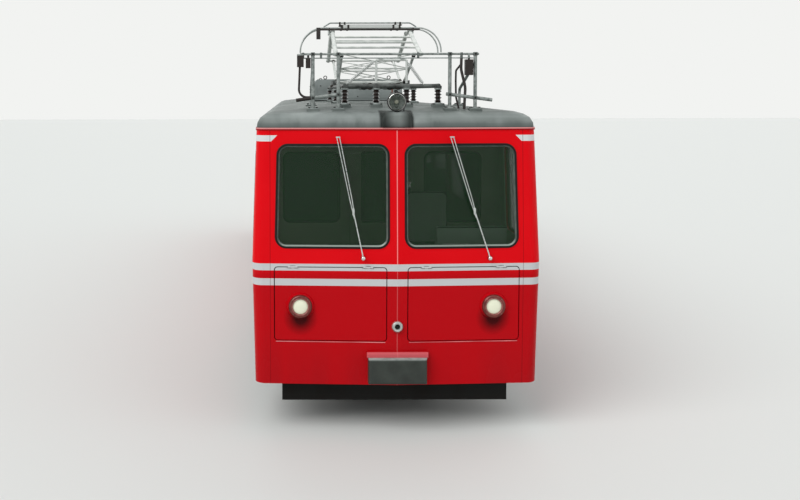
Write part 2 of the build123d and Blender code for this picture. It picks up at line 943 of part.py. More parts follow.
def bogie_frame():
    """One bogie frame about its pivot, in heights above the floor."""
    upper = [(-y, z) for y, z in beam_half_outline] + list(reversed(beam_half_outline))
    lower = list(reversed(beam_under_outline)) + [(-y, z) for y, z in beam_under_outline]
    beam_face = Plane.YZ * make_face(Polyline(*upper, *lower, close=True))
    beam = Pos(beam_inner, 0, 0) * extrude(beam_face, amount=beam_width)
    transom_top = beam_top - beam_well
    frame = beam + mirrored(beam)
    frame = frame + box(-beam_inner, beam_inner, -transom_half, transom_half, transom_bottom, transom_top)
    box_x = (beam_inner - axlebox_reach, beam_outer + axlebox_reach)
    spring_x = (beam_inner + beam_outer) / 2
    wing_half = spring_offset + spring_radius
    spring_z = axlebox_bottom + axlebox_corner + spring_seat
    coil = ringed_post(spring_radius, spring_wire, beam_bottom - spring_z, spring_coils)
    for end in (-1, 1):
        y = end * wheelbase / 2
        axlebox = box(*box_x, y - axlebox_half, y + axlebox_half, axlebox_bottom, beam_bottom + pad_rise)
        axlebox = fillet(axlebox.edges().filter_by(Axis.X).group_by(Axis.Z)[0], axlebox_corner)
        axlebox = axlebox + box(
            spring_x - spring_radius, spring_x + spring_radius, y - wing_half, y + wing_half,
            spring_z - spring_seat, spring_z,
        )
        axlebox = axlebox + drum((box_x[1], y, axle_height), axle_cap_radius, 2 * axle_cap, "x")
        for way in (-1, 1):
            axlebox = axlebox + Pos(spring_x, y + way * spring_offset, spring_z) * coil
        # A brake shoe against the tread, hung from the beam on the motor's side of the wheel
        shoe_mid = ((shoe_x[0] + shoe_x[1]) / 2, y, axle_height)
        shoe_width = shoe_x[1] - shoe_x[0]
        shoe = drum(shoe_mid, shoe_radius + shoe_thickness, shoe_width, "x")
        shoe = shoe - drum(shoe_mid, shoe_radius, 2 * shoe_width, "x")
        shoe_y = sorted((y, y - end * 2 * tread_radius))
        shoe_z = (axle_height - shoe_half_height, axle_height + shoe_half_height)
        shoe_back = y - end * (shoe_radius + shoe_thickness / 2)
        hanger_y = sorted((shoe_back, shoe_back - end * shoe_hanger))
        arm_z = (beam_bottom - shoe_hanger, beam_bottom + pad_rise)
        axlebox = axlebox + (shoe & box(*shoe_x, *shoe_y, *shoe_z))
        axlebox = axlebox + box(*shoe_x, *hanger_y, axle_height, beam_bottom)
        axlebox = axlebox + box(shoe_x[0], beam_inner + pad_rise, *hanger_y, *arm_z)
        frame = frame + axlebox + mirrored(axlebox)
        motor_y = end * (transom_half + motor_length / 2 - motor_lap)
        motor = drum((0, motor_y, rail + motor_height), motor_radius, motor_length, "y")
        frame = frame + fillet(motor.edges(), motor_corner)
    bearer = ringed_post(bearer_radius, bearer_wire, bolster_z - bearer_gap - transom_top, bearer_coils)
    bore_length = axle_end + axle_end_play - box_x[0]
    for side in (-1, 1):
        frame = frame + Pos(side * bearer_x, 0, transom_top) * bearer
        bore_x = side * (box_x[0] + bore_length / 2)
        for end in (-1, 1):
            bore_centre = (bore_x, end * wheelbase / 2, axle_height)
            frame = frame - drum(bore_centre, journal_radius + journal_clearance, bore_length, "x")
    return frame - rod((0, 0, 0), (0, 0, bolster_z), pivot_radius + journal_clearance)


frame_at_pivot = bogie_frame()
for name, y in zip(("front", "rear"), bogie_places):
    save(Pos(0, y, 0) * frame_at_pivot, f"bogie_frame_{name}")

flange_radius = tread_radius + flange_height
web_mid = wheel_in + wheel_width / 2
web_in = web_mid - wheel_web / 2
web_out = web_mid + wheel_web / 2
rim_inner = tread_radius - rim_depth


def wheelset():
    """An axle with two flanged wheels, two brake drums and the rack pinion."""
    wheel_points = (
        (wheel_in, 0),
        (wheel_in, wheel_hub_radius),
        (web_in, wheel_hub_radius + wheel_web / 3),
        (web_in, rim_inner - wheel_web / 4),
        (wheel_in, rim_inner),
        (wheel_in, flange_radius - flange_bevel),
        (wheel_in + flange_bevel, flange_radius),
        (wheel_in + 2 * flange_bevel, flange_radius),
        (wheel_in + 4 * flange_bevel, tread_radius + tread_fall),
        (wheel_out, tread_radius - tread_fall),
        (wheel_out, rim_inner),
        (web_out, rim_inner - wheel_web / 4),
        (web_out, wheel_hub_radius + wheel_web / 3),
        (wheel_out + hub_step, wheel_hub_radius),
        (wheel_out + hub_step, 0),
    )
    wheel = revolve(make_face(Polyline(*wheel_points, close=True)), Axis.X)
    drum_in = pinion_width / 2 + pinion_hub_step
    drum_out = drum_in + brake_drum_width
    drum_points = (
        (drum_in, 0),
        (drum_in, brake_drum_radius),
        (drum_out, brake_drum_radius),
        (drum_out, brake_drum_radius - brake_drum_wall),
        (drum_in + brake_drum_wall, brake_drum_radius - brake_drum_wall),
        (drum_in + brake_drum_wall, axle_radius + brake_drum_wall),
        (drum_out, axle_radius + brake_drum_wall),
        (drum_out, 0),
    )
    brake = revolve(make_face(Polyline(*drum_points, close=True)), Axis.X)
    axle = drum((0, 0, 0), axle_radius, 2 * web_mid, "x") + drum((0, 0, 0), journal_radius, 2 * axle_end, "x")
    pitch_radius = pinion_teeth * rack_pitch / (2 * math.pi)
    root = pitch_radius - pinion_dedendum
    tip = pitch_radius + pinion_addendum
    # Corners of one tooth: share of the pitch from its middle, radius.
    tooth_corners = ((-0.36, root), (-0.14, tip), (0.14, tip), (0.36, root))
    tooth_points = []
    for tooth in range(pinion_teeth):
        for share, radius in tooth_corners:
            turn = 2 * math.pi * (tooth + share) / pinion_teeth
            tooth_points.append((radius * math.cos(turn), radius * math.sin(turn)))
    gear_face = make_face(Polyline(*tooth_points, close=True))
    gear = Rot(0, 90, 0) * extrude(gear_face, amount=pinion_width / 2, both=True)
    hub = drum((0, 0, 0), pinion_hub_radius, pinion_width + 2 * pinion_hub_step, "x")
    return wheel + mirrored(wheel) + axle + gear + hub + brake + mirrored(brake)


wheelset_at_origin = wheelset()
axle_places = [y + end * wheelbase / 2 for y in bogie_places for end in (-1, 1)]
for number, y in enumerate(axle_places, start=1):
    save(Pos(0, y, axle_height) * wheelset_at_origin, f"wheelset_{number}")

# Sliding passenger doors inside the walls, each hung from its track by two rollers
hanger_top = track_z + track_height + 2 * roller_radius
roller_z = track_z + track_height + roller_radius + roller_gap
roller_x = at_height(track_z, 2) - wall - track_thickness - roller_overhang
pane_z = (rail + door_pane_bottom, rail + door_pane_top)
for name, y0, slide in side_doors:
    y1 = y0 + door_width
    opening = side_opening(y0 + door_pane_side, y1 - door_pane_side, *pane_z, door_pane_corner)
    leaf_ends = (y0 - door_overlap, y1 + door_overlap)
    leaf = side_strip(*leaf_ends, floor_z + door_gap, leaf_top, leaf_inset, door_leaf) - opening
    for y in (y0 + roller_inset, y1 - roller_inset):
        plate_inset = leaf_inset + door_leaf - hanger
        leaf = leaf + side_strip(
            y - hanger_half, y + hanger_half, leaf_top - 2 * hanger_half, hanger_top, plate_inset, hanger
        )
        leaf = leaf + drum((roller_x, y, roller_z), roller_radius, roller_length, "x")
    save(leaf, f"door_right_{name}")
    save(mirrored(leaf), f"door_left_{name}")
    pane_inset = leaf_inset + (door_leaf - glass) / 2
    door_glass = side_strip(y0, y1, *pane_z, pane_inset, glass) & opening
    save(door_glass, f"door_glass_right_{name}")
    save(mirrored(door_glass), f"door_glass_left_{name}")

# Cab partition with two windows and a hinged door
partition_y = front + partition_start
partition_back = partition_y + partition
cab_head = rail + cab_door_top
cab_pane_z = (rail + cab_pane_bottom, rail + cab_pane_top)
cab_pane_width = cab_pane_outer - cab_pane_inner
cab_pane_outline = RectangleRounded(cab_pane_width, cab_pane_z[1] - cab_pane_z[0], cab_pane_corner)
partition_wall = Pos(0, partition_y, 0) * cross_wall(floor_z, joint_z, wall, partition)
partition_wall = partition_wall - box(
    -cab_door_half, cab_door_half, partition_y, partition_back, floor_z, cab_head
)
for side in (-1, 1):
    middle = (side * (cab_pane_inner + cab_pane_outer) / 2, partition_y, sum(cab_pane_z) / 2)
    place = Plane(origin=middle, x_dir=(1, 0, 0), z_dir=(0, 1, 0))
    partition_wall = partition_wall - extrude(place * cab_pane_outline, amount=partition)
leaf_y = (partition_y + cab_leaf_inset, partition_y + cab_leaf_inset + cab_leaf)
leaf_half = cab_door_half - cab_door_gap
cab_door = box(-leaf_half, leaf_half, *leaf_y, floor_z + cab_door_gap, cab_head - cab_door_gap)
cab_door = cab_door - box(-cab_door_pane_half, cab_door_pane_half, *leaf_y, *cab_pane_z)
cab_hinge_x = -cab_door_half + cab_door_gap / 2
cab_hinge_y = partition_back + cab_hinge_radius
strap_reach = cab_hinge_length
for z in (floor_z + cab_hinge_inset, cab_head - cab_hinge_inset):
    # Knuckles of one hinge: height of the lower end, length, way that the strap points.
    knuckles = (
        (z, cab_hinge_length, 1),
        (z - cab_lug_gap - cab_lug_length, cab_lug_length, -1),
        (z + cab_hinge_length + cab_lug_gap, cab_lug_length, -1),
    )
    for low, length, way in knuckles:
        x0, x1 = sorted((cab_hinge_x, cab_hinge_x + way * strap_reach))
        strap_y = leaf_y[1] if way > 0 else partition_back
        strap = box(x0, x1, strap_y, cab_hinge_y + cab_hinge_radius, low, low + length)
        knuckle_line = [(cab_hinge_x, cab_hinge_y, end) for end in (low, low + length)]
        knuckle = rod(*knuckle_line, cab_hinge_radius)
        if way > 0:
            cab_door = cab_door + (strap + knuckle)
        else:
            partition_wall = partition_wall + (strap + knuckle)
    pin_ends = (z - cab_lug_length, z + cab_hinge_length + cab_lug_length)
    pin_line = [(cab_hinge_x, cab_hinge_y, end) for end in pin_ends]
    cab_door = cab_door - rod(*pin_line, hinge_pin_radius + hinge_pin_clearance)
    partition_wall = partition_wall + rod(*pin_line, hinge_pin_radius)
save(partition_wall, "cab_partition")
save(cab_door, "cab_door")

# Driver's desk: an upright console with a sloped top, an instrument hood and room for the knees
desk_front = front + desk_start
desk_back = desk_front + desk_depth
desk_top = rail + desk_height
hood_back = desk_front + desk_hood_depth
desk_outline = (
    (desk_front, floor_z),
    (desk_back, floor_z),
    (desk_back, desk_top - desk_edge),
    (desk_back + desk_edge, desk_top),
    (desk_back + desk_edge, desk_top + desk_edge),
    (hood_back + desk_edge, desk_top + desk_slope),
    (hood_back, rail + desk_hood),
    (desk_front, rail + desk_hood),
)
desk = extrude(Plane.YZ * make_face(Polyline(*desk_outline, close=True)), amount=desk_half, both=True)
knee_room = box(
    -desk_knee_half, desk_knee_half, hood_back, desk_back + 2 * desk_edge, floor_z, rail + desk_knee_height
)
save(desk - knee_room, "driver_desk")

# Seats: rows of double benches on both sides of an aisle, the driver's seat and the grab poles
bench_z = floor_z + bench_height
pan_depth = bench_depth + back_cushion + seat_inset
side_profile = Plane.YZ


def bench_slab(start, end, thickness, foot, top, lean):
    """A cushion or a seat back: a slab across the bench that leans back with height."""
    outline = Polyline(
        (start, foot), (start + thickness, foot), (end + thickness, top), (end, top), close=True
    )
    half = (bench_outer - bench_inner) / 2 - lean
    return Pos((bench_inner + bench_outer) / 2, 0, 0) * extrude(
        side_profile * make_face(outline), amount=half, both=True
    )


frames = []
cushions = []
row_places = [saloon_middle + (row - (bench_rows - 1) / 2) * bench_pitch for row in range(bench_rows)]
for y in row_places:
    pan_front = y - bench_depth / 2
    pan_back = pan_front + pan_depth
    bench = box(bench_inner, bench_outer, pan_front, pan_back, bench_z - bench_plate, bench_z)
    back_top = bench_z + back_height
    bench = bench + bench_slab(
        pan_back - bench_back_plate, pan_back + back_lean - bench_back_plate, bench_back_plate,
        bench_z - bench_plate, back_top, 0,
    )
    foot_y = (y - bench_foot / 2, y + bench_foot / 2)
    for x in (bench_inner + bench_leg, bench_outer - 2 * bench_leg):
        bench = bench + box(x, x + bench_leg, *foot_y, floor_z, bench_z - bench_plate)
    rest_start = pan_back - bench_back_plate - seat_gap - back_cushion
    lean_at_cushion = back_lean * (cushion + bench_plate) / (back_height + bench_plate)
    seat = box(
        bench_inner + seat_inset, bench_outer - seat_inset, pan_front, rest_start - seat_gap,
        bench_z + seat_gap, bench_z + cushion,
    )
    rest = bench_slab(
        rest_start + lean_at_cushion, rest_start + back_lean, back_cushion,
        bench_z + cushion + seat_gap, back_top, seat_inset,
    )
    frames += [bench, mirrored(bench)]
    cushions += [seat, rest, mirrored(seat), mirrored(rest)]

driver_y = front + driver_start
driver_half = bench_depth / 2
driver_z = floor_z + driver_seat_height
driver_back = driver_y + driver_half
driver_seat = rod((driver_x, driver_y, floor_z), (driver_x, driver_y, driver_z), driver_plinth)
driver_seat = driver_seat + rod(
    (driver_x, driver_y, floor_z), (driver_x, driver_y, floor_z + bench_back_plate), driver_foot
)
driver_seat = driver_seat + box(
    driver_x - driver_half, driver_x + driver_half, driver_y - driver_half, driver_back + bench_leg,
    driver_z, driver_z + bench_plate,
)
driver_seat = driver_seat + box(
    driver_x - driver_half, driver_x + driver_half, driver_back + bench_leg - bench_back_plate,
    driver_back + bench_leg, driver_z, driver_z + back_height,
)
frames.append(driver_seat)
driver_rest_y = driver_back + bench_leg - bench_back_plate - seat_gap - back_cushion
driver_cushion_z = driver_z + bench_plate + seat_gap
cushions.append(
    box(
        driver_x - driver_half, driver_x + driver_half, driver_y - driver_half, driver_rest_y - seat_gap,
        driver_cushion_z, driver_cushion_z + cushion,
    )
)
cushions.append(
    box(
        driver_x - driver_half, driver_x + driver_half, driver_rest_y, driver_rest_y + back_cushion,
        driver_cushion_z + cushion + seat_gap, driver_z + back_height,
    )
)
pole_x = bench_inner - pole_radius - seat_inset / 2
for y in (row_places[0] - bench_depth / 2, row_places[-1] + bench_depth / 2):
    pole_top = roof_z(pole_x, y, wall, roof_shell) - seat_gap
    pole = rod((pole_x, y, floor_z), (pole_x, y, pole_top), pole_radius)
    frames += [pole, mirrored(pole)]
save(group(frames), "seat_frames")
save(group(cushions), "seat_cushions")

# Windscreen wipers, an arm and two parallel blade carriers each: spindle, joint and tip across.
wipers_table = ((-294, -368, -510), (820, 684, 487))
wiper_heights = (1518, 1935, 2580)
wiper_pieces = []
for places in wipers_table:
    points = [
        (x, nose_y(x, rail + height) - wiper_stand, rail + height)
        for x, height in zip(places, wiper_heights)
    ]
    spindle_x, spindle_y, spindle_z = points[0]
    wiper = rod(points[0], points[1], wiper_rod)
    for across in (-wiper_spread, wiper_spread):
        blade_line = [(x + across, y, z) for x, y, z in points[1:]]
        wiper = wiper + rod(*blade_line, wiper_blade)
    for x, y, z in points[1:]:
        reach = wiper_spread + wiper_rod
        wiper = wiper + rod((x - reach, y, z), (x + reach, y, z), wiper_rod)
    spindle_ends = (spindle_y - 2 * wiper_rod, nose_y(spindle_x, spindle_z) + wiper_rod)
    wiper = wiper + rod(*[(spindle_x, y, spindle_z) for y in spindle_ends], wiper_boss)
    wiper_pieces.append(wiper - nose_half - mirrored(nose_half))
save(group(wiper_pieces), "wipers")

# Headlight on the roof
roof_lamp_y = front + nose_lean_top + lamp_fairing_inset + roof_lamp_rim
roof_lamp_z = lamp_fairing_z + roof_lamp_lift + roof_lamp_radius
lamp_barrel = roof_lamp_radius - roof_lamp_rim
roof_lamp = turned(
    (
        (0, roof_lamp_rim),
        (lamp_barrel, roof_lamp_rim),
        (lamp_barrel, 0),
        (roof_lamp_radius, 0),
        (roof_lamp_radius, 2 * roof_lamp_rim),
        (lamp_barrel, 3 * roof_lamp_rim),
        (lamp_barrel, 2 * roof_lamp_length / 3),
        (roof_lamp_radius / 2, roof_lamp_length),
        (0, roof_lamp_length),
    )
)
roof_lamp = Pos(0, roof_lamp_y, roof_lamp_z) * Rot(-90, 0, 0) * roof_lamp
foot_y = roof_lamp_y + roof_lamp_length / 2
roof_lamp = roof_lamp + rod((0, foot_y, lamp_fairing_z), (0, foot_y, roof_lamp_z), roof_lamp_foot)
save(roof_lamp, "roof_headlight")

# Guard gantry in front of the pantograph
bar_z = rail + gantry_bar_height
low_bar_z = rail + gantry_low_height
gantry = rod((-gantry_left_end, gantry_y, bar_z), (gantry_right_end, gantry_y, bar_z), gantry_bar)
for side in (-1, 1):
    for x in (gantry_outer, gantry_inner):
        foot = (side * x, gantry_y, pad_top(x, gantry_y))
        gantry = gantry + rod(foot, (side * x, gantry_y, bar_z), gantry_tube)
        gantry = gantry + rod(foot, (side * x, gantry_y, foot[2] + gantry_bar), 2 * gantry_tube)
    low_start = (side * (gantry_inner - 2 * gantry_tube), gantry_y, low_bar_z + gantry_low_fall / 2)
    low_end = (side * gantry_low_end, gantry_y, low_bar_z - gantry_low_fall / 2)
    gantry = gantry + rod(low_start, low_end, gantry_tube)
    stay_foot_z = pad_top(gantry_outer, stay_y)
    stay_line = (
        (side * gantry_outer, stay_y, stay_foot_z),
        (side * gantry_outer, stay_y, stay_foot_z + stay_rise),
        (side * gantry_outer, gantry_y, bar_z - stay_rise / 2),
    )
    gantry = gantry + bent_rod(stay_line, gantry_stay, stay_bend)
# A bent guard rod from the bar's left end down to the lower bar
guard_rod_top = (-gantry_left_end, gantry_y, bar_z)
guard_rod_corner = (-gantry_left_end - gantry_tube, gantry_y, low_bar_z)
guard_rod_foot = (-gantry_inner - gantry_reach_in, gantry_y, low_bar_z)
gantry = gantry + bent_rod((guard_rod_top, guard_rod_corner, guard_rod_foot), gantry_bar, guard_rod_bend)
# Weights that hang from the bar: place across, half width, top under the bar, bottom under the bar.
bar_weights = (
    (-gantry_left_end, 30, 0, 115),
    (-gantry_left_end + 70, 22, 35, 125),
    (gantry_right_end - 90, 34, 50, 190),
)
for x, half, top, bottom in bar_weights:
    gantry = gantry + box(x - half, x + half, gantry_y - half, gantry_y + half, bar_z - bottom, bar_z - top)
    gantry = gantry + rod((x, gantry_y, bar_z), (x, gantry_y, bar_z - bottom), gantry_bar)
save(gantry, "guard_gantry")

# Insulators: a post with sheds
shed_pitch = (insulator_height - 2 * insulator_cap) / shed_count
insulator_points = [(0, 0), (insulator_shed, 0), (insulator_shed, insulator_cap)]
for shed in range(shed_count):
    low = insulator_cap + shed * shed_pitch
    insulator_points += [
        (insulator_core, low + shed_pitch / 5),
        (insulator_shed, low + shed_pitch / 2),
        (insulator_core, low + 4 * shed_pitch / 5),
    ]
insulator_points += [
    (insulator_core + insulator_cap / 2, insulator_height - insulator_cap),
    (insulator_core + insulator_cap / 2, insulator_height),
    (0, insulator_height),
]
insulator = turned(insulator_points)
posts = [Pos(side * x, y, insulator_pad_top) * insulator for x, y in insulator_places for side in (-1, 1)]
save(group(posts), "insulators")

# Pantograph base: rails on the insulators, cross tubes, spring cases, bearings and the knee frame
seat_z = insulator_pad_top + insulator_height
base_z = seat_z + base_rail_radius
shaft_z = base_z + shaft_rise
foot_half = base_rail_radius * 3 / 2
base = []
for side in (-1, 1):
    rail_ends = (front_row - base_overhang, insulator_rows[-1] + base_overhang)
    base.append(rod(*[(side * base_rail_x, y, base_z) for y in rail_ends], base_rail_radius))
for x, y in insulator_places:
    for side in (-1, 1):
        base.append(
            box(side * x - foot_half, side * x + foot_half, y - foot_half, y + foot_half, seat_z, base_z)
        )
shaft_places = (pan_y - shaft_spacing / 2, pan_y + shaft_spacing / 2)
for y in (front_row, shaft_places[0], shaft_places[1], insulator_rows[-1]):
    base.append(rod((-base_rail_x, y, base_z), (base_rail_x, y, base_z), base_rail_radius - gantry_bar / 4))
for side in (-1, 1):
    for y in shaft_places:
        x0, x1 = sorted((side * bearing_inner, side * bearing_outer))
        base.append(box(x0, x1, y - bearing_half, y + bearing_half, base_z, shaft_z + bearing_half))
    spring_line = [(side * inner_insulator_x, y, base_z) for y in (front_row, shaft_places[0])]
    base.append(rod(*spring_line, base_rail_radius - gantry_bar / 2))
    case_line = [
        (side * inner_insulator_x, y, base_z)
        for y in (shaft_places[0] - spring_case_gap - spring_case_length, shaft_places[0] - spring_case_gap)
    ]
    base.append(rod(*case_line, spring_case_radius))
    leg_top = (side * inner_insulator_x, front_row, base_z + knee_frame_rise)
    base.append(rod((side * inner_insulator_x, front_row, base_z), leg_top, knee_frame_leg))
knee_line = [(side * inner_insulator_x, front_row, base_z + knee_frame_rise) for side in (-1, 1)]
base.append(rod(*knee_line, knee_frame_leg))
pantograph_base = join(base)
for y in shaft_places:
    bore_line = [(side * 2 * bearing_outer, y, shaft_z) for side in (-1, 1)]
    pantograph_base = pantograph_base - rod(*bore_line, shaft_radius + pin_clearance)
save(pantograph_base, "pantograph_base")

# Arms of the pantograph
angle = math.radians(arm_angle)
knee_out = arm_length * math.cos(angle)
knee_rise = arm_length * math.sin(angle)
pan_z = shaft_z + 2 * knee_rise
eye_outer = 2 * pin_radius
plate_inner = upper_arm_x + arm_eye_half + arm_side_gap
plate_outer = plate_inner + pin_radius
rungs = (0.28, 0.5, 0.74)
for name, way, shaft_y in (("front", -1, shaft_places[0]), ("rear", 1, shaft_places[1])):
    knee_y = shaft_y + way * knee_out
    knee_z = shaft_z + knee_rise
    tube_end = lower_arm_x + shaft_tube
    lower = rod((-tube_end, shaft_y, shaft_z), (tube_end, shaft_y, shaft_z), shaft_tube)
    lower = lower + rod((-bearing_outer, shaft_y, shaft_z), (bearing_outer, shaft_y, shaft_z), shaft_radius)
    lower = lower + rod((-plate_inner, knee_y, knee_z), (plate_inner, knee_y, knee_z), pin_radius)
    head_clearance = pin_clearance if way < 0 else open_pivot_clearance
    upper = []
    bores = []
    for side in (-1, 1):
        shaft_end = (side * lower_arm_x, shaft_y, shaft_z)
        knee_end = (side * lower_arm_x, knee_y, knee_z)
        lower = lower + rod(shaft_end, knee_end, tube_radius)
        lower = lower + drum(knee_end, tube_radius + pin_radius / 3, 2 * tube_radius, "x")
        keeper = (side * (plate_inner - pin_radius / 3), knee_y, knee_z)
        lower = lower + drum(keeper, 3 * pin_radius / 2, 2 * pin_radius / 3, "x")
        arm_knee = (side * upper_arm_x, knee_y, knee_z)
        arm_head = (side * upper_arm_x, shaft_y, pan_z)
        upper.append(rod(arm_knee, arm_head, tube_radius - 2))
        upper += [drum(end, eye_outer, 2 * arm_eye_half, "x") for end in (arm_knee, arm_head)]
        bores.append(drum(arm_knee, pin_radius + pin_clearance, 4 * arm_eye_half, "x"))
        bores.append(drum(arm_head, pin_radius + head_clearance, 4 * arm_eye_half, "x"))
    for share in rungs:
        y = knee_y + share * (shaft_y - knee_y)
        z = knee_z + share * (pan_z - knee_z)
        upper.append(rod((-upper_arm_x, y, z), (upper_arm_x, y, z), pin_radius))
    save(lower, f"lower_arm_{name}")
    save(join(upper) - bores, f"upper_arm_{name}")

# Collector head: two bars with drooping horns on side plates that carry the pins
keeper_in = upper_arm_x - arm_eye_half - arm_side_gap / 2
strip_z = pan_z + strip_rise
plate_reach = shaft_spacing / 2 + eye_outer
head = []
for side in (-1, 1):
    x0, x1 = sorted((side * plate_inner, side * plate_outer))
    head.append(box(x0, x1, pan_y - plate_reach, pan_y + plate_reach, pan_z - eye_outer, strip_z))
    for y in shaft_places:
        head.append(rod((side * keeper_in, y, pan_z), (side * plate_outer, y, pan_z), pin_radius))
        keeper_end = (side * (keeper_in - pin_radius / 2), y, pan_z)
        head.append(rod(keeper_end, (side * keeper_in, y, pan_z), 3 * pin_radius / 2))
for y in (pan_y - strip_spacing / 2, pan_y + strip_spacing / 2):
    horn_line = (
        (-horn_reach, y, strip_z - horn_drop), (-horn_reach, y, strip_z),
        (horn_reach, y, strip_z), (horn_reach, y, strip_z - horn_drop),
    )
    head.append(bent_rod(horn_line, bar_radius, horn_bend))
    strip_y = (y - strip_width / 2, y + strip_width / 2)
    head.append(box(-strip_half, strip_half, *strip_y, strip_z, strip_z + strip_height))
save(join(head), "collector_head")

# Resistor case on the roof, with louvred sides
case_top = rail + case_height
resistor_case = box(-case_half, case_half, *case_y, insulator_pad_top, case_top)
resistor_case = chamfer(resistor_case.edges().filter_by(Axis.Y).group_by(Axis.Z)[-1], case_shoulder)
louvre_z = insulator_pad_top + louvre_pitch
bay_pitch = case_length / louvre_bays
slots = []
for bay in range(louvre_bays):
    middle = case_y[0] + (bay + 0.5) * bay_pitch
    for row in range(louvre_rows):
        z = louvre_z + row * louvre_pitch
        slot = box(
            case_half - louvre_depth, case_half + louvre_depth, middle - louvre_length / 2,
            middle + louvre_length / 2, z, z + louvre_slot,
        )
        slots += [slot, mirrored(slot)]
save(resistor_case - slots, "resistor_case")
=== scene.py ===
import math

import bmesh
import bpy
from mathutils import Matrix, Vector


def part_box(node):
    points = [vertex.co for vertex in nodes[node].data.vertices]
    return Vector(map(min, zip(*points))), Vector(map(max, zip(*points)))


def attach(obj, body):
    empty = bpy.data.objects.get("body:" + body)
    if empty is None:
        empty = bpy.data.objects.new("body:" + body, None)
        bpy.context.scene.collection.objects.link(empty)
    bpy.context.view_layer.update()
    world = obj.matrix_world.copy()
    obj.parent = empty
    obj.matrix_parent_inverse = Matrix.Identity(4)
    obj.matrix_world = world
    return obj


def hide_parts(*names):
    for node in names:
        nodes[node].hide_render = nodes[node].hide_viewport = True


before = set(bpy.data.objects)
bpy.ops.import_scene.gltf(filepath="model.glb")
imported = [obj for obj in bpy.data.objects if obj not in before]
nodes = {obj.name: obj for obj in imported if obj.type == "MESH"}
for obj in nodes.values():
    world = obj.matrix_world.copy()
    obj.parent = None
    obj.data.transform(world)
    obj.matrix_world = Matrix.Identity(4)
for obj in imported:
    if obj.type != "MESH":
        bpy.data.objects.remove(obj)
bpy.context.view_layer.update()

# The body's form in metres, as the CAD model has it.
FRONT = -6.2
REAR = 6.15
NOSE_SLOPE = 0.062 / 1.110
NOSE_SEAM = 1.110
SKIRT_Z, BELT_Z, JOINT_Z = 0.428, 1.508, 2.665
# Sections of the skin: height, half width, set-back of the nose.
SECTIONS = ((SKIRT_Z, 1.247, 0.025), (BELT_Z, 1.272, 0.0), (JOINT_Z, 1.232, 0.070))
FLOOR_Z = 0.958
SIDES = (("right", 1), ("left", -1))


def skin(z, column):
    """The half width (1) or the set-back of the nose (2) at a height."""
    low, high = SECTIONS[:2] if z < BELT_Z else SECTIONS[1:]
    share = (z - low[0]) / (high[0] - low[0])
    return low[column] + share * (high[column] - low[column])


def on_nose(x, z, out=0.0):
    """A point on the nose, or so far in front of it."""
    return Vector((x, FRONT + skin(z, 2) + NOSE_SLOPE * abs(x) - out, z))


def on_side(side, y, z, out=0.0):
    """A point on the left (-1) or right (1) side wall, or so far outside it."""
    return Vector((side * (skin(z, 1) + out), y, z))


def on_rear(x, z, out=0.0):
    """A point on the rear wall, or so far behind it."""
    return Vector((x, REAR + out, z))


def side_surface(side, inset=0.0):
    """The surface of one side wall, or of a leaf that stands so far inside it."""
    return lambda y, z, out: on_side(side, y, z, out - inset)


# ---------------------------------------------------------------- materials


def linear(colour):
    """An sRGB hex colour as the linear values that Blender works in."""
    parts = [int(colour[i:i + 2], 16) / 255 for i in (1, 3, 5)]
    return (*(p / 12.92 if p <= 0.04045 else ((p + 0.055) / 1.055) ** 2.4 for p in parts), 1.0)


def add(tree, kind, sockets=None, **settings):
    """Adds a node with its settings; a socket takes a value or another node's output. A Map
    Range node reads between sockets 1 and 2 and gives between 3 and 4, and a Mix node takes its
    share at 0 and its two colours at 6 and 7."""
    node = tree.nodes.new(kind)
    for name, value in settings.items():
        setattr(node, name, value)
    for name, value in (sockets or {}).items():
        if isinstance(value, bpy.types.NodeSocket):
            tree.links.new(value, node.inputs[name])
        else:
            node.inputs[name].default_value = value
    return node


def finish(name, colour, roughness, metallic=0.0, **sockets):
    """A material with its tree, its one shader and the piece's own coordinates."""
    made = bpy.data.materials.new(name)
    made.use_nodes = True
    tree = made.node_tree
    tree.nodes.clear()
    values = {key.replace("_", " "): value for key, value in sockets.items()}
    values |= {"Base Color": linear(colour), "Roughness": roughness, "Metallic": metallic}
    shader = add(tree, "ShaderNodeBsdfPrincipled", values)
    add(tree, "ShaderNodeOutputMaterial", {"Surface": shader.outputs[0]})
    at = add(tree, "ShaderNodeTexCoord").outputs["Object"]
    return made, tree, shader, at


# Noise keeps within these bounds over most of a surface.
NOISE_LOW, NOISE_HIGH = 0.32, 0.68


def patches(tree, at, size, stretch=(1, 1, 1), detail=3.0):
    """Soft patches about one size across, in metres, from 0 to 1; stretch lengthens them."""
    scale = [1 / (size * s) for s in stretch]
    spot = add(tree, "ShaderNodeMapping", {"Vector": at, "Scale": scale}).outputs[0]
    noise = add(tree, "ShaderNodeTexNoise", {"Vector": spot, "Scale": 1.0, "Detail": detail})
    spread = {0: noise.outputs["Fac"], 1: NOISE_LOW, 2: NOISE_HIGH}
    return add(tree, "ShaderNodeMapRange", spread, clamp=True).outputs[0]


def within(tree, at, low, high):
    """1 inside a box of the object's space, 0 outside."""
    split = add(tree, "ShaderNodeSeparateXYZ", {0: at})
    inside = 1.0
    for axis in range(3):
        middle, half = (low[axis] + high[axis]) / 2, (high[axis] - low[axis]) / 2
        reach = {0: split.outputs[axis], 1: middle, 2: half}
        reach = add(tree, "ShaderNodeMath", reach, operation="COMPARE").outputs[0]
        inside = add(tree, "ShaderNodeMath", {0: reach, 1: inside}, operation="MULTIPLY").outputs[0]
    return inside


def coats(tree, tone, *layers):
    """A tone with colours laid over it in turn, each given with the share that it covers."""
    for share, colour in layers:
        tones = {0: share, 6: tone, 7: linear(colour)}
        tone = add(tree, "ShaderNodeMix", tones, data_type="RGBA").outputs[2]
    return tone


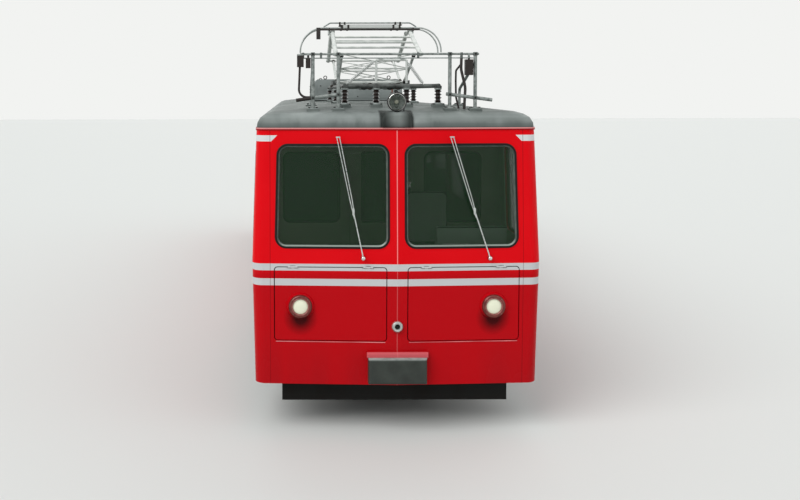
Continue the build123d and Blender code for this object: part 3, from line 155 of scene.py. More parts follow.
def roughen(tree, shader, height, distance, strength):
    """A relief on the surface, from a height between 0 and 1 and its depth in metres."""
    bump = {"Height": height, "Distance": distance, "Strength": strength}
    tree.links.new(add(tree, "ShaderNodeBump", bump).outputs[0], shader.inputs["Normal"])


def weather(tree, shader, at, colours, size, roughness, relief=0.0, stretch=(1, 1, 1), detail=3.0):
    """Two tones in patches, with the gloss and the relief that go with them."""
    spots = patches(tree, at, size, stretch, detail)
    tone = coats(tree, linear(colours[0]), (spots, colours[1]))
    tree.links.new(tone, shader.inputs["Base Color"])
    gloss = add(tree, "ShaderNodeMapRange", {0: spots, 3: roughness[0], 4: roughness[1]}).outputs[0]
    tree.links.new(gloss, shader.inputs["Roughness"])
    if relief:
        roughen(tree, shader, spots, relief, 0.6)
    return tone


def plain(
    name, colours, size, roughness, metallic=0.0, relief=0.0, stretch=(1, 1, 1), detail=3.0, **sockets
):
    """A finish of two tones in patches and nothing more."""
    made, tree, shader, at = finish(name, colours[0], roughness[0], metallic, **sockets)
    weather(tree, shader, at, colours, size, roughness, relief, stretch, detail)
    return made


def skin_depth(tree, at):
    """How far inside the body's outer skin a point lies, in metres, with the point's own
    coordinates and how far it lies from the middle."""
    x, y, z = add(tree, "ShaderNodeSeparateXYZ", {0: at}).outputs
    across = add(tree, "ShaderNodeMath", {0: x}, operation="ABSOLUTE").outputs[0]
    skins = []
    for column in (1, 2):
        skirt, belt, joint = (section[column] for section in SECTIONS)
        rise = {0: z, 1: BELT_Z, 2: JOINT_Z, 3: belt, 4: joint}
        rise = add(tree, "ShaderNodeMapRange", rise).outputs[0]
        tuck = {0: z, 1: BELT_Z, 2: SKIRT_Z, 3: 0.0, 4: skirt - belt}
        tuck = add(tree, "ShaderNodeMapRange", tuck).outputs[0]
        skins.append(add(tree, "ShaderNodeMath", {0: rise, 1: tuck}, operation="ADD").outputs[0])
    side = add(tree, "ShaderNodeMath", {0: skins[0], 1: across}, operation="SUBTRACT").outputs[0]
    slope = {0: across, 1: NOSE_SLOPE, 2: FRONT}
    slope = add(tree, "ShaderNodeMath", slope, operation="MULTIPLY_ADD").outputs[0]
    lean = add(tree, "ShaderNodeMath", {0: slope, 1: skins[1]}, operation="ADD").outputs[0]
    nose = add(tree, "ShaderNodeMath", {0: y, 1: lean}, operation="SUBTRACT").outputs[0]
    rear = add(tree, "ShaderNodeMath", {0: REAR, 1: y}, operation="SUBTRACT").outputs[0]
    least = add(tree, "ShaderNodeMath", {0: side, 1: nose}, operation="MINIMUM").outputs[0]
    least = add(tree, "ShaderNodeMath", {0: least, 1: rear}, operation="MINIMUM").outputs[0]
    return least, (x, y, z), across


# Stripes of the livery, and the flashes at the top of the front posts: middle height and half
# height; a flash's inner end slants between two places across, from its foot to its top.
STRIPES = ((1.4690, 0.0305), (1.3370, 0.0308))
FLASH, FLASH_END = (2.594, 0.0268), (1.100, 1.046)
LAMP_X, LAMP_Z = 0.846, 1.124
# The nose's own paint ends here. The painted highlight on its crease and its corner seams are this far to each
# side.
NOSE_END, CREASE_HIGHLIGHT_HALF, SEAM_HALF = -5.9, 0.004, 0.0025
# Heights where the painted shade below the waist and the dirt on the skirt begin and are full.
WAIST_SHADE, SKIRT_DIRT = (1.50, 1.38), (0.95, 0.43)
# The middle of the soot and painted shadow under a headlight, and the hood over the bumper.
SOOT_AND_SHADOW_AT = (LAMP_X, FRONT + 0.04, LAMP_Z - 0.112)
HOOD_BOX = ((-0.270, -6.30, 0.684), (0.270, -6.205, 0.735))


def red_enamel(name, lining_depth):
    """Gloss enamel sprayed on steel sheet: deep red with a soft, slightly wavy shine, pale grey
    stripes that run round the car, and a cream lining inside the wall."""
    made, tree, shader, at = finish(name, "#D00710", 0.2, Specular_IOR_Level=0.07)
    depth, (x, y, z), across = skin_depth(tree, at)
    fade = patches(tree, at, 0.9, (1, 1, 0.6))
    # Below the waist the red is painted darker, as painted shade.
    below = {0: z, 1: WAIST_SHADE[0], 2: WAIST_SHADE[1], 3: 0.0, 4: 1.0}
    below = add(tree, "ShaderNodeMapRange", below).outputs[0]
    runs = patches(tree, at, 0.32, (1, 1, 14), 2.0)
    low = {0: z, 1: SKIRT_DIRT[0], 2: SKIRT_DIRT[1], 3: 0.0, 4: 0.50}
    low = add(tree, "ShaderNodeMapRange", low).outputs[0]
    dusty = add(tree, "ShaderNodeMath", {0: runs, 1: low}, operation="MULTIPLY").outputs[0]
    red = coats(tree, linear("#D60410"), (fade, "#DC0814"), (below, "#B70712"), (dusty, "#86141A"))
    # A painted highlight runs down the nose's folded middle edge, brightest above the waist.
    on_front = add(tree, "ShaderNodeMath", {0: y, 1: NOSE_END}, operation="LESS_THAN").outputs[0]
    above = add(tree, "ShaderNodeMath", {0: z, 1: WAIST_SHADE[0]}, operation="GREATER_THAN").outputs[0]
    crease_highlight = {0: across, 1: 0.0, 2: CREASE_HIGHLIGHT_HALF}
    crease_highlight = add(tree, "ShaderNodeMath", crease_highlight, operation="COMPARE").outputs[0]
    crease_highlight = add(tree, "ShaderNodeMath", {0: crease_highlight, 1: on_front}, operation="MULTIPLY").outputs[0]
    bright = add(tree, "ShaderNodeMapRange", {0: above, 3: 0.18, 4: 0.62}).outputs[0]
    crease_highlight = add(tree, "ShaderNodeMath", {0: crease_highlight, 1: bright}, operation="MULTIPLY").outputs[0]
    bands = []
    for middle, half in (*STRIPES, FLASH):
        band = add(tree, "ShaderNodeMath", {0: z, 1: middle, 2: half}, operation="COMPARE")
        bands.append(band.outputs[0])
    slant = {0: z, 1: FLASH[0] - FLASH[1], 2: FLASH[0] + FLASH[1], 3: FLASH_END[0], 4: FLASH_END[1]}
    slant = add(tree, "ShaderNodeMapRange", slant).outputs[0]
    beyond = add(tree, "ShaderNodeMath", {0: across, 1: slant}, operation="GREATER_THAN").outputs[0]
    flash = add(tree, "ShaderNodeMath", {0: bands[2], 1: beyond}, operation="MULTIPLY").outputs[0]
    seam = {0: across, 1: NOSE_SEAM, 2: SEAM_HALF}
    seam = add(tree, "ShaderNodeMath", seam, operation="COMPARE").outputs[0]
    seam = add(tree, "ShaderNodeMath", {0: seam, 1: on_front}, operation="MULTIPLY").outputs[0]
    seam = add(tree, "ShaderNodeMath", {0: seam, 1: 0.55}, operation="MULTIPLY").outputs[0]
    # Soot and a painted shadow hang below each headlight; the hood over the bumper is painted a paler pink.
    mirrored = add(tree, "ShaderNodeCombineXYZ", {0: across, 1: y, 2: z}).outputs[0]
    gap = {0: mirrored, 1: SOOT_AND_SHADOW_AT}
    gap = add(tree, "ShaderNodeVectorMath", gap, operation="DISTANCE").outputs["Value"]
    soot_and_shadow = add(tree, "ShaderNodeMapRange", {0: gap, 1: 0.050, 2: 0.155, 3: 0.92, 4: 0.0}).outputs[0]
    hood = within(tree, at, *HOOD_BOX)
    hood = add(tree, "ShaderNodeMath", {0: hood, 1: 0.38}, operation="MULTIPLY").outputs[0]
    inside = {0: depth, 1: lining_depth}
    inside = add(tree, "ShaderNodeMath", inside, operation="GREATER_THAN").outputs[0]
    colour = coats(
        tree, red, (crease_highlight, "#F2A7A7"), (bands[0], "#C3C5C6"), (bands[1], "#C3C5C6"), (flash, "#D4D6D6"),
        (seam, "#5A060B"), (soot_and_shadow, "#2E0709"), (hood, "#E38A92"), (inside, "#B9B7A6"),
    )
    tree.links.new(colour, shader.inputs["Base Color"])
    gloss = add(tree, "ShaderNodeMapRange", {0: dusty, 1: 0.0, 2: 0.5, 3: 0.17, 4: 0.42}).outputs[0]
    tree.links.new(gloss, shader.inputs["Roughness"])
    # Sheet panels are never quite flat: waves about 0.5 m long bend the reflections.
    roughen(tree, shader, patches(tree, at, 0.5, detail=1.0), 0.004, 0.35)
    return made


# Where the painted light on the sill run of a window's filler strip is full, and where it ends.
SILL_LIGHT = (1.664, 1.700)


def filler_strip():
    """Drawn aluminium strip: under a grey film on its uprights, with painted light that makes it pale where it
    runs along the sill."""
    made, tree, shader, at = finish("drawn_aluminium_strip", "#555E57", 0.45, 0.3)
    base = weather(tree, shader, at, ("#434C45", "#5E6760"), 0.05, (0.35, 0.5))
    z = add(tree, "ShaderNodeSeparateXYZ", {0: at}).outputs[2]
    # The sill's run is painted pale: painted light from the sky.
    low = {0: z, 1: SILL_LIGHT[0], 2: SILL_LIGHT[1], 3: 0.9, 4: 0.0}
    low = add(tree, "ShaderNodeMapRange", low).outputs[0]
    tree.links.new(coats(tree, base, (low, "#8E9991")), shader.inputs["Base Color"])
    return made


# Bands of height on the roof: painted shade on the flat top, the paler shoulder and its upper end, the darker foot
# above the gutter.
TOP_SHADE, SHOULDER, SHOULDER_END, FOOT = (2.800, 2.842), (2.735, 2.775), (2.795, 2.825), (2.690, 2.745)
# Painted shade on the lamp's fairing: its flank across, its edge, and where it ends along the car.
FLANK, FLANK_EDGE, FLANK_BACK = (0.020, 0.105), (0.138, 0.156), (-5.93, -5.85)


def roof_paint():
    """Matt grey roof paint on steel sheet: chalky, with dark runs where rain carries soot down."""
    made, tree, shader, at = finish("roof_paint_on_steel", "#8F9593", 0.6, Specular_IOR_Level=0.12)
    x, y, z = add(tree, "ShaderNodeSeparateXYZ", {0: at}).outputs
    base = weather(tree, shader, at, ("#666D6A", "#7F8583"), 0.7, (0.5, 0.68), detail=5.0)
    runs = patches(tree, at, 0.11, (1, 1, 60), 5.0)
    runs = add(tree, "ShaderNodeMath", {0: runs, 1: 2.2}, operation="POWER").outputs[0]
    runs = add(tree, "ShaderNodeMath", {0: runs, 1: 0.72}, operation="MULTIPLY").outputs[0]
    pale = patches(tree, at, 0.23, (1.4, 1.4, 60), 2.0)
    pale = add(tree, "ShaderNodeMath", {0: pale, 1: 3.0}, operation="POWER").outputs[0]
    pale = add(tree, "ShaderNodeMath", {0: pale, 1: 0.6}, operation="MULTIPLY").outputs[0]
    # Painted shade darkens the flat top; the hollow above the gutter is painted darker and the shoulder paler.
    # Painted shade, with some soot from the lamp's seat, darkens the flanks of its fairing.
    across = add(tree, "ShaderNodeMath", {0: x}, operation="ABSOLUTE").outputs[0]
    bands = []
    for place, (start, end), low, high in (
        (z, TOP_SHADE, 0.0, 0.55), (z, SHOULDER, 0.0, 1.0), (z, SHOULDER_END, 0.55, 0.0), (z, FOOT, 0.75, 0.0),
        (across, FLANK, 0.20, 0.92), (across, FLANK_EDGE, 1.0, 0.0), (y, FLANK_BACK, 1.0, 0.0),
    ):
        band = add(tree, "ShaderNodeMapRange", {0: place, 1: start, 2: end, 3: low, 4: high})
        bands.append(band.outputs[0])
    top, shoulder, past, foot, flank_shade, beside, ahead = bands
    shoulder = add(tree, "ShaderNodeMath", {0: shoulder, 1: past}, operation="MULTIPLY").outputs[0]
    flank_shade = add(tree, "ShaderNodeMath", {0: flank_shade, 1: beside}, operation="MULTIPLY").outputs[0]
    flank_shade = add(tree, "ShaderNodeMath", {0: flank_shade, 1: ahead}, operation="MULTIPLY").outputs[0]
    # The gutter's lip is red, with a painted highlight along its top edge.
    groove = add(tree, "ShaderNodeMath", {0: z, 1: JOINT_Z + 0.011}, operation="LESS_THAN").outputs[0]
    lip_highlight = {0: z, 1: JOINT_Z + 0.0165, 2: 0.0055}
    lip_highlight = add(tree, "ShaderNodeMath", lip_highlight, operation="COMPARE").outputs[0]
    under = add(tree, "ShaderNodeMath", {0: z, 1: JOINT_Z - 0.002}, operation="LESS_THAN").outputs[0]
    tone = coats(
        tree, base, (runs, "#4E5653"), (pale, "#B2B9B6"), (top, "#5C635F"), (shoulder, "#8D9491"),
        (foot, "#4C5452"), (flank_shade, "#272B29"), (groove, "#8E0A12"), (lip_highlight, "#D98E8C"), (under, "#C2C0B0"),
    )
    tree.links.new(tone, shader.inputs["Base Color"])
    return made


# A Wave texture repeats every 2 pi / 20 of its coordinate, so this times a spacing gives its scale.
WAVE_TURN = 2 * math.pi / 20
FLUTE, CHECK_SIZE, RIB = 0.009, 0.014, 0.025


def lamp_glass():
    """Pressed lamp glass, lit from behind: warm white with fine upright flutes 9 mm apart."""
    made, tree, shader, at = finish(
        "pressed_lamp_glass", "#DDE0C9", 0.2, Emission_Strength=0.10, Specular_IOR_Level=0.2
    )
    shader.inputs["Emission Color"].default_value = linear("#F1F2D8")
    flutes = add(
        tree, "ShaderNodeTexWave", {"Vector": at, "Scale": WAVE_TURN / FLUTE},
        wave_type="BANDS", bands_direction="X",
    ).outputs["Fac"]
    roughen(tree, shader, flutes, 0.001, 0.5)
    return made


def moquette():
    """Woven wool moquette: a soft short pile, blue-grey with a fine darker check."""
    made, tree, shader, at = finish(
        "wool_moquette", "#3C5266", 0.9, Sheen_Weight=0.35, Sheen_Roughness=0.5, Specular_IOR_Level=0.2
    )
    base = weather(tree, shader, at, ("#35495C", "#42596E"), 0.16, (0.86, 0.95))
    squares = {
        "Vector": at, "Scale": 1 / CHECK_SIZE, "Color1": linear("#FFFFFF"), "Color2": linear("#000000")
    }
    check = add(tree, "ShaderNodeTexChecker", squares).outputs["Fac"]
    share = add(tree, "ShaderNodeMath", {0: check, 1: 0.28}, operation="MULTIPLY").outputs[0]
    tree.links.new(coats(tree, base, (share, "#26323E")), shader.inputs["Base Color"])
    roughen(tree, shader, patches(tree, at, 0.004, detail=2.0), 0.001, 0.5)
    return made


def glass(name, colour, alpha):
    """Polished glass of one tint: sharp reflections, faint dust."""
    made, tree, shader, at = finish(name, colour, 0.03, Alpha=alpha, Specular_IOR_Level=0.35)
    dust = patches(tree, at, 0.35, detail=5.0)
    gloss = add(tree, "ShaderNodeMapRange", {0: dust, 3: 0.015, 4: 0.09}).outputs[0]
    tree.links.new(gloss, shader.inputs["Roughness"])
    return made


# The tread's middle and half width across, and how far a face may turn from round to be worn.
TREAD, TREAD_HALF, ROUND_LIMIT = 0.538, 0.045, 0.45


def wheel_steel():
    """Rolled wheel steel: dull brown-grey web, tread and flange worn bright in use."""
    made, tree, shader, at = finish("rolled_wheel_steel", "#4A423C", 0.55, 0.7)
    base = weather(tree, shader, at, ("#3A332E", "#57504A"), 0.05, (0.5, 0.75), 0.0006, detail=4.0)
    x = add(tree, "ShaderNodeSeparateXYZ", {0: at}).outputs[0]
    across = add(tree, "ShaderNodeMath", {0: x}, operation="ABSOLUTE").outputs[0]
    on_tread = {0: across, 1: TREAD, 2: TREAD_HALF}
    on_tread = add(tree, "ShaderNodeMath", on_tread, operation="COMPARE").outputs[0]
    normal = add(tree, "ShaderNodeNewGeometry").outputs["Normal"]
    facing = add(tree, "ShaderNodeSeparateXYZ", {0: normal}).outputs[0]
    flat = add(tree, "ShaderNodeMath", {0: facing}, operation="ABSOLUTE").outputs[0]
    round_face = add(tree, "ShaderNodeMath", {0: flat, 1: ROUND_LIMIT}, operation="LESS_THAN").outputs[0]
    worn = add(tree, "ShaderNodeMath", {0: on_tread, 1: round_face}, operation="MULTIPLY").outputs[0]
    tree.links.new(coats(tree, base, (worn, "#9B9A97")), shader.inputs["Base Color"])
    return made


def ribbed_floor():
    """Ribbed rubber floor covering: dark grey ribs 25 mm apart along the car, drawn coarser than
    the real 8 mm so that they show."""
    made, tree, shader, at = finish("ribbed_rubber_floor", "#3A3B3A", 0.7)
    weather(tree, shader, at, ("#343534", "#434443"), 0.3, (0.6, 0.8))
    ribs = add(
        tree, "ShaderNodeTexWave", {"Vector": at, "Scale": WAVE_TURN / RIB},
        wave_type="BANDS", bands_direction="X",
    ).outputs["Fac"]
    roughen(tree, shader, ribs, 0.002, 0.6)
    return made


# The pale top edge of the bumper, a painted highlight with scuffs: where it begins, and where it is full.
BUMPER_RUB_AND_HIGHLIGHT = (0.664, 0.683)


def bumper_paint():
    """Satin dark grey-green paint on plate: chalky, painted pale along the top front edge as a highlight broken by
    scuffs.
    """
    made, tree, shader, at = finish("satin_bumper_paint", "#2B302B", 0.4, Specular_IOR_Level=0.35)
    base = weather(tree, shader, at, ("#272C28", "#343A35"), 0.12, (0.35, 0.5), 0.0005)
    z = add(tree, "ShaderNodeSeparateXYZ", {0: at}).outputs[2]
    top = add(tree, "ShaderNodeMapRange", {0: z, 1: BUMPER_RUB_AND_HIGHLIGHT[0], 2: BUMPER_RUB_AND_HIGHLIGHT[1]}).outputs[0]
    rub = patches(tree, at, 0.03, (2, 1, 1), 4.0)
    rub = add(tree, "ShaderNodeMapRange", {0: rub, 3: 0.55, 4: 1.0}).outputs[0]
    # The top edge's pale colour is a painted highlight, broken up by scuffs.
    worn = add(tree, "ShaderNodeMath", {0: top, 1: rub}, operation="MULTIPLY").outputs[0]
    tree.links.new(coats(tree, base, (worn, "#A3A9A5")), shader.inputs["Base Color"])
    return made


def spotted(name, tones, size, roughness, metallic, boxes, patch_colour, detail=3.0):
    """A weathered finish with another colour inside some boxes of the object's space."""
    made, tree, shader, at = finish(name, tones[0], roughness[0], metallic)
    tone = weather(tree, shader, at, tones, size, roughness, detail=detail)
    tone = coats(tree, tone, *((within(tree, at, *box), patch_colour) for box in boxes))
    tree.links.new(tone, shader.inputs["Base Color"])
    return made


# The same enamel on the walls and on the doors, whose lining begins deeper.
BODY_RED = red_enamel("red_enamel_on_steel", 0.040)
DOOR_RED = red_enamel("red_enamel_on_door", 0.075)
ROOF_GREY = roof_paint()
# Tinted safety glass, dark green, and clear glass before the dark inside of the roof lamp.
SCREEN_GLASS = glass("tinted_windscreen_glass", "#0A2A10", 0.5)
PANE_GLASS = glass("tinted_window_glass", "#12281A", 0.5)
DARK_LENS = glass("clear_dark_lamp_glass", "#1C241F", 0.32)
LAMP_GLASS = lamp_glass()
SEAT_CLOTH = moquette()
WHEEL = wheel_steel()
FLOOR_RUBBER = ribbed_floor()
BUMPER = bumper_paint()
# Moulded rubber: dull black with a grey bloom.
SEAL_RUBBER = plain(
    "moulded_seal_rubber", ("#0A0B0A", "#151715"), 0.06, (0.5, 0.7), relief=0.0003, Specular_IOR_Level=0.2
)
FILLER_STRIP = filler_strip()
# Drawn steel rod, stainless: bright with fine lengthwise scuffs.
BRIGHT_ROD = plain("stainless_rod", ("#B9BDBB", "#D3D6D4"), 0.02, (0.25, 0.4), 0.75)
# Chrome plate on brass: sharp, bright, a little pitted.
CHROME = plain("chrome_plated_brass", ("#C9CBC8", "#DDDEDB"), 0.03, (0.08, 0.2), 1.0)
# Machined steel ring, greyed by weather.
SOCKET_STEEL = plain("machined_steel", ("#A9AFAC", "#C6CAC7"), 0.02, (0.3, 0.45), 0.7)
# Hot-dip galvanised tube: mottled mid grey with dull spangle.
GALVANISED = plain("galvanised_tube", ("#7C8482", "#A6ADAA"), 0.035, (0.4, 0.6), 0.45, detail=5.0)
# The same zinc on cast clamps, darker with soot.
CLAMP_ZINC = plain("galvanised_casting", ("#4A504E", "#6A716E"), 0.03, (0.45, 0.65), 0.4)
# Pale grey paint on steel tube, sooty in patches.
ARM_PAINT = plain("pale_paint_on_tube", ("#B4BAB5", "#D9DCD7"), 0.09, (0.35, 0.55), 0.0, detail=5.0)
# Pressed carbon, for the collector's wearing strips: near-black with a faint sheen.
CARBON = plain("pressed_carbon_strip", ("#2A2B2B", "#3A3B3B"), 0.02, (0.35, 0.55), 0.1)
# Glazed porcelain sheds: near-black brown with a wet shine.
PORCELAIN = plain("glazed_porcelain", ("#1C1512", "#2B211C"), 0.05, (0.12, 0.25), 0.0, Coat_Weight=0.4)
# Black enamel on sheet and castings.
LAMP_BLACK = plain("black_enamel", ("#0E0F0F", "#1A1C1B"), 0.05, (0.25, 0.4))
# Matt black chassis paint under brown dust, its black deepened as painted shade for the shadow under the car.
SHADED_CHASSIS = plain(
    "chassis_paint_with_dust_and_painted_shade", ("#080907", "#151310"), 0.25, (0.6, 0.85), relief=0.001, detail=6.0,
    Specular_IOR_Level=0.2,
)
# The same paint under rust-brown dust from the brake shoes.
BOGIE = plain(
    "bogie_paint_with_brake_dust", ("#1A1916", "#332C26"), 0.16, (0.6, 0.85), relief=0.001, detail=6.0,
    Specular_IOR_Level=0.3,
)
# Bare casting: dark, rough, oily.
CASTING = plain("bare_iron_casting", ("#221F1C", "#35302B"), 0.02, (0.5, 0.75), 0.4, relief=0.001)
# Coil springs and bolts in black oxide.
SPRING_STEEL = plain("oiled_spring_steel", ("#1B1B1A", "#2E2D2B"), 0.03, (0.3, 0.5), 0.6)
# Laminate panels: pale warm grey, faintly marbled.
LAMINATE = plain("pressed_laminate", ("#A9A798", "#B9B7A9"), 0.18, (0.3, 0.4), 0.0, detail=6.0)
# Textured moulding of the desk: mid grey, fine grain of about 2 mm drawn at 6 mm.
DESK = plain("textured_desk_moulding", ("#4F5A52", "#5C675F"), 0.006, (0.5, 0.65), relief=0.0006)
# Printed sheet: even, pale, satin.
DIAL_FACE = plain("printed_dial_face", ("#C9CBC4", "#D8DAD3"), 0.02, (0.4, 0.5))
# Grey enamel on bent steel tube and sheet.
SEAT_ENAMEL = plain("grey_seat_enamel", ("#5A5F60", "#6B7071"), 0.1, (0.3, 0.45))
# Steel tube polished in use: bright, with a soft sheen.
POLE_STEEL = plain("polished_pole_steel", ("#B4B7B5", "#C8CAC8"), 0.04, (0.15, 0.28), 0.9)
# Extruded vinyl cord: dark blue-grey, satin.
PIPING = plain("vinyl_piping", ("#1B2630", "#27343F"), 0.03, (0.4, 0.5))
# Matt grey paint on the resistor case, heat-stained near the top.
CASE_PAINT = plain(
    "case_paint_on_sheet", ("#6E7573", "#8C9391"), 0.4, (0.5, 0.7), stretch=(1, 1, 0.5), detail=5.0
)
# Hammered enamel on the instrument panel: pale grey-green, softly dimpled.
HAMMER_PAINT = plain("hammered_enamel", ("#9AACA0", "#B4C3B8"), 0.008, (0.3, 0.45), relief=0.0006)
# Grained vinyl on the cab seat: pale grey-green.
SEAT_VINYL = plain("grained_seat_vinyl", ("#B7C5BC", "#CBD6CE"), 0.004, (0.45, 0.6), relief=0.0004)
# Silvered reflector gone dull with age.
REFLECTOR = plain("aged_reflector", ("#7E8882", "#A9B3AC"), 0.03, (0.3, 0.45), 0.1)
# Brown lacquer on the ring that holds the lens.
RETAINER = plain("lacquered_retainer", ("#7A3B36", "#9A5F57"), 0.02, (0.25, 0.4), 0.1)
# Reddish lacquer over the lamp's bezel.
BEZEL = plain("lacquered_bezel", ("#5C2420", "#7A3A33"), 0.03, (0.14, 0.24), 0.35)
# Moulded red plastic of lamps and buttons.
TAIL_LENS = plain("red_lamp_lens", ("#7A0508", "#96080C"), 0.02, (0.08, 0.15))
# Opal plastic over the lamps, slightly yellowed.
LIGHT_COVER = plain("opal_light_cover", ("#E6E6DE", "#EEEEE8"), 0.2, (0.35, 0.45))
# Bitumen paint: dull black-brown, thick and a little lumpy.
BITUMEN = plain("bitumen_paint", ("#171412", "#2A2320"), 0.03, (0.45, 0.65), relief=0.0006)
# Red enamel rubbed through along an edge, and painted pale pink as a highlight.
LIP_HIGHLIGHT_RED = plain("rubbed_red_enamel_with_painted_highlight", ("#B43840", "#DE8A8C"), 0.05, (0.3, 0.45), stretch=(6, 1, 1))
# Red-brown paint on copper tube.
COPPER_TUBE = plain("painted_copper_tube", ("#7A3B22", "#8E4A2C"), 0.05, (0.35, 0.5))
# Galvanised tube, mottled grey with dull spangle; the weights and the bent rod at the left are
# dipped in black-brown bitumen.
GANTRY_TUBE = spotted(
    "galvanised_gantry_tube", ("#5F6663", "#9BA19E"), 0.035, (0.4, 0.6), 0.3,
    (((-1.0, -6.0, 2.9), (-0.745, -5.8, 3.326)), ((0.630, -6.0, 3.14), (0.711, -5.8, 3.30))), "#241D1A", 5.0,
)
# Grey paint on welded tube, black with soot and grease; the knee frame is kept pale.
BASE_PAINT = spotted(
    "sooty_base_frame_paint", ("#2B2E2C", "#6A6F6C"), 0.07, (0.5, 0.7), 0.0,
    (((-0.3, -5.7, 3.080), (0.3, -5.6, 3.32)),), "#C9CDC9", 5.0,
)
# Aluminium collector: bright on the rubbed strips, duller on horns and plates.
HEAD_PAINT = spotted(
    "worn_collector_aluminium", ("#969C99", "#BEC3C0"), 0.06, (0.35, 0.55), 0.35,
    (((-0.34, -3.5, 3.735), (0.34, -2.9, 3.79)),), "#CDD0CD",
)

NODE_FINISH = {
    BODY_RED: ("side_wall_right", "side_wall_left", "front_end", "rear_end", "hatch_right", "hatch_left"),
    DOOR_RED: tuple(f"door_{label}_{end}" for label, side in SIDES for end in ("front", "rear")),
    ROOF_GREY: ("roof",),
    SCREEN_GLASS: ("windscreens",),
    PANE_GLASS: ("window_glass",)
    + tuple(f"door_glass_{label}_{end}" for label, side in SIDES for end in ("front", "rear")),
    BUMPER: ("bumper_box",),
    CASTING: ("rear_drawbar",),
    FLOOR_RUBBER: ("floor",),
    SHADED_CHASSIS: ("underframe",),
    BOGIE: ("bogie_frame_front", "bogie_frame_rear"),
    WHEEL: ("wheelset_1", "wheelset_2", "wheelset_3", "wheelset_4"),
    LAMINATE: ("cab_partition", "cab_door"),
    DESK: ("driver_desk",),
    SEAT_ENAMEL: ("seat_frames",),
    GANTRY_TUBE: ("guard_gantry",),
    BASE_PAINT: ("pantograph_base",),
    PORCELAIN: ("insulators",),
    ARM_PAINT: ("lower_arm_front", "lower_arm_rear", "upper_arm_front", "upper_arm_rear"),
    HEAD_PAINT: ("collector_head",),
    CASE_PAINT: ("resistor_case",),
}
for material, names in NODE_FINISH.items():
    for name in names:
        nodes[name].data.materials.clear()
        nodes[name].data.materials.append(material)


# ---------------------------------------------------------------- mesh tools


def aim(start, direction):
    """A place whose own Z axis points in a direction."""
    return Matrix.Translation(start) @ Vector(direction).to_track_quat("Z", "Y").to_matrix().to_4x4()


def rounded(points, radius, steps=6, closed=False):
    """The corners of a line or outline turned into arcs."""
    points = [Vector(p) for p in points]
    made = []
    for i, corner in enumerate(points):
        if not closed and i in (0, len(points) - 1):
            made.append(corner)
            continue
        back = (points[i - 1] - corner).normalized()
        on = (points[(i + 1) % len(points)] - corner).normalized()
        half = back.angle(on) / 2
        reach = radius / math.tan(half)
        middle = corner + (back + on).normalized() * radius / math.sin(half)
        first, last = corner + back * reach - middle, corner + on * reach - middle
        for step in range(steps + 1):
            made.append(middle + first.slerp(last, step / steps).normalized() * radius)
    return made


def put(name, data):
    """An object in the scene for a mesh, a lamp or a camera."""
    made = bpy.data.objects.new(name, data)
    bpy.context.scene.collection.objects.link(made)
    return made


def settled(holder):
    """The plain mesh of an object with its modifiers applied."""
    ready = holder.evaluated_get(bpy.context.evaluated_depsgraph_get())
    return bpy.data.meshes.new_from_object(ready)


# The shortest bend and the narrowest ring that count as one, and how near points are joined.
NO_BEND, NO_RADIUS, JOINED = 1e-5, 1e-6, 1e-6


def circle(radius, height, place, steps):
    """The points of a circle about a place's Z axis."""
    turns = [math.tau * i / steps for i in range(steps)]
    return [place @ Vector((radius * math.cos(t), radius * math.sin(t), height)) for t in turns]


def ball(radius, middle=0.0):
    """The profile of a ball, for turning."""
    turns = [math.pi * i / 8 for i in range(9)]
    return [(radius * math.sin(t), middle - radius * math.cos(t)) for t in turns]


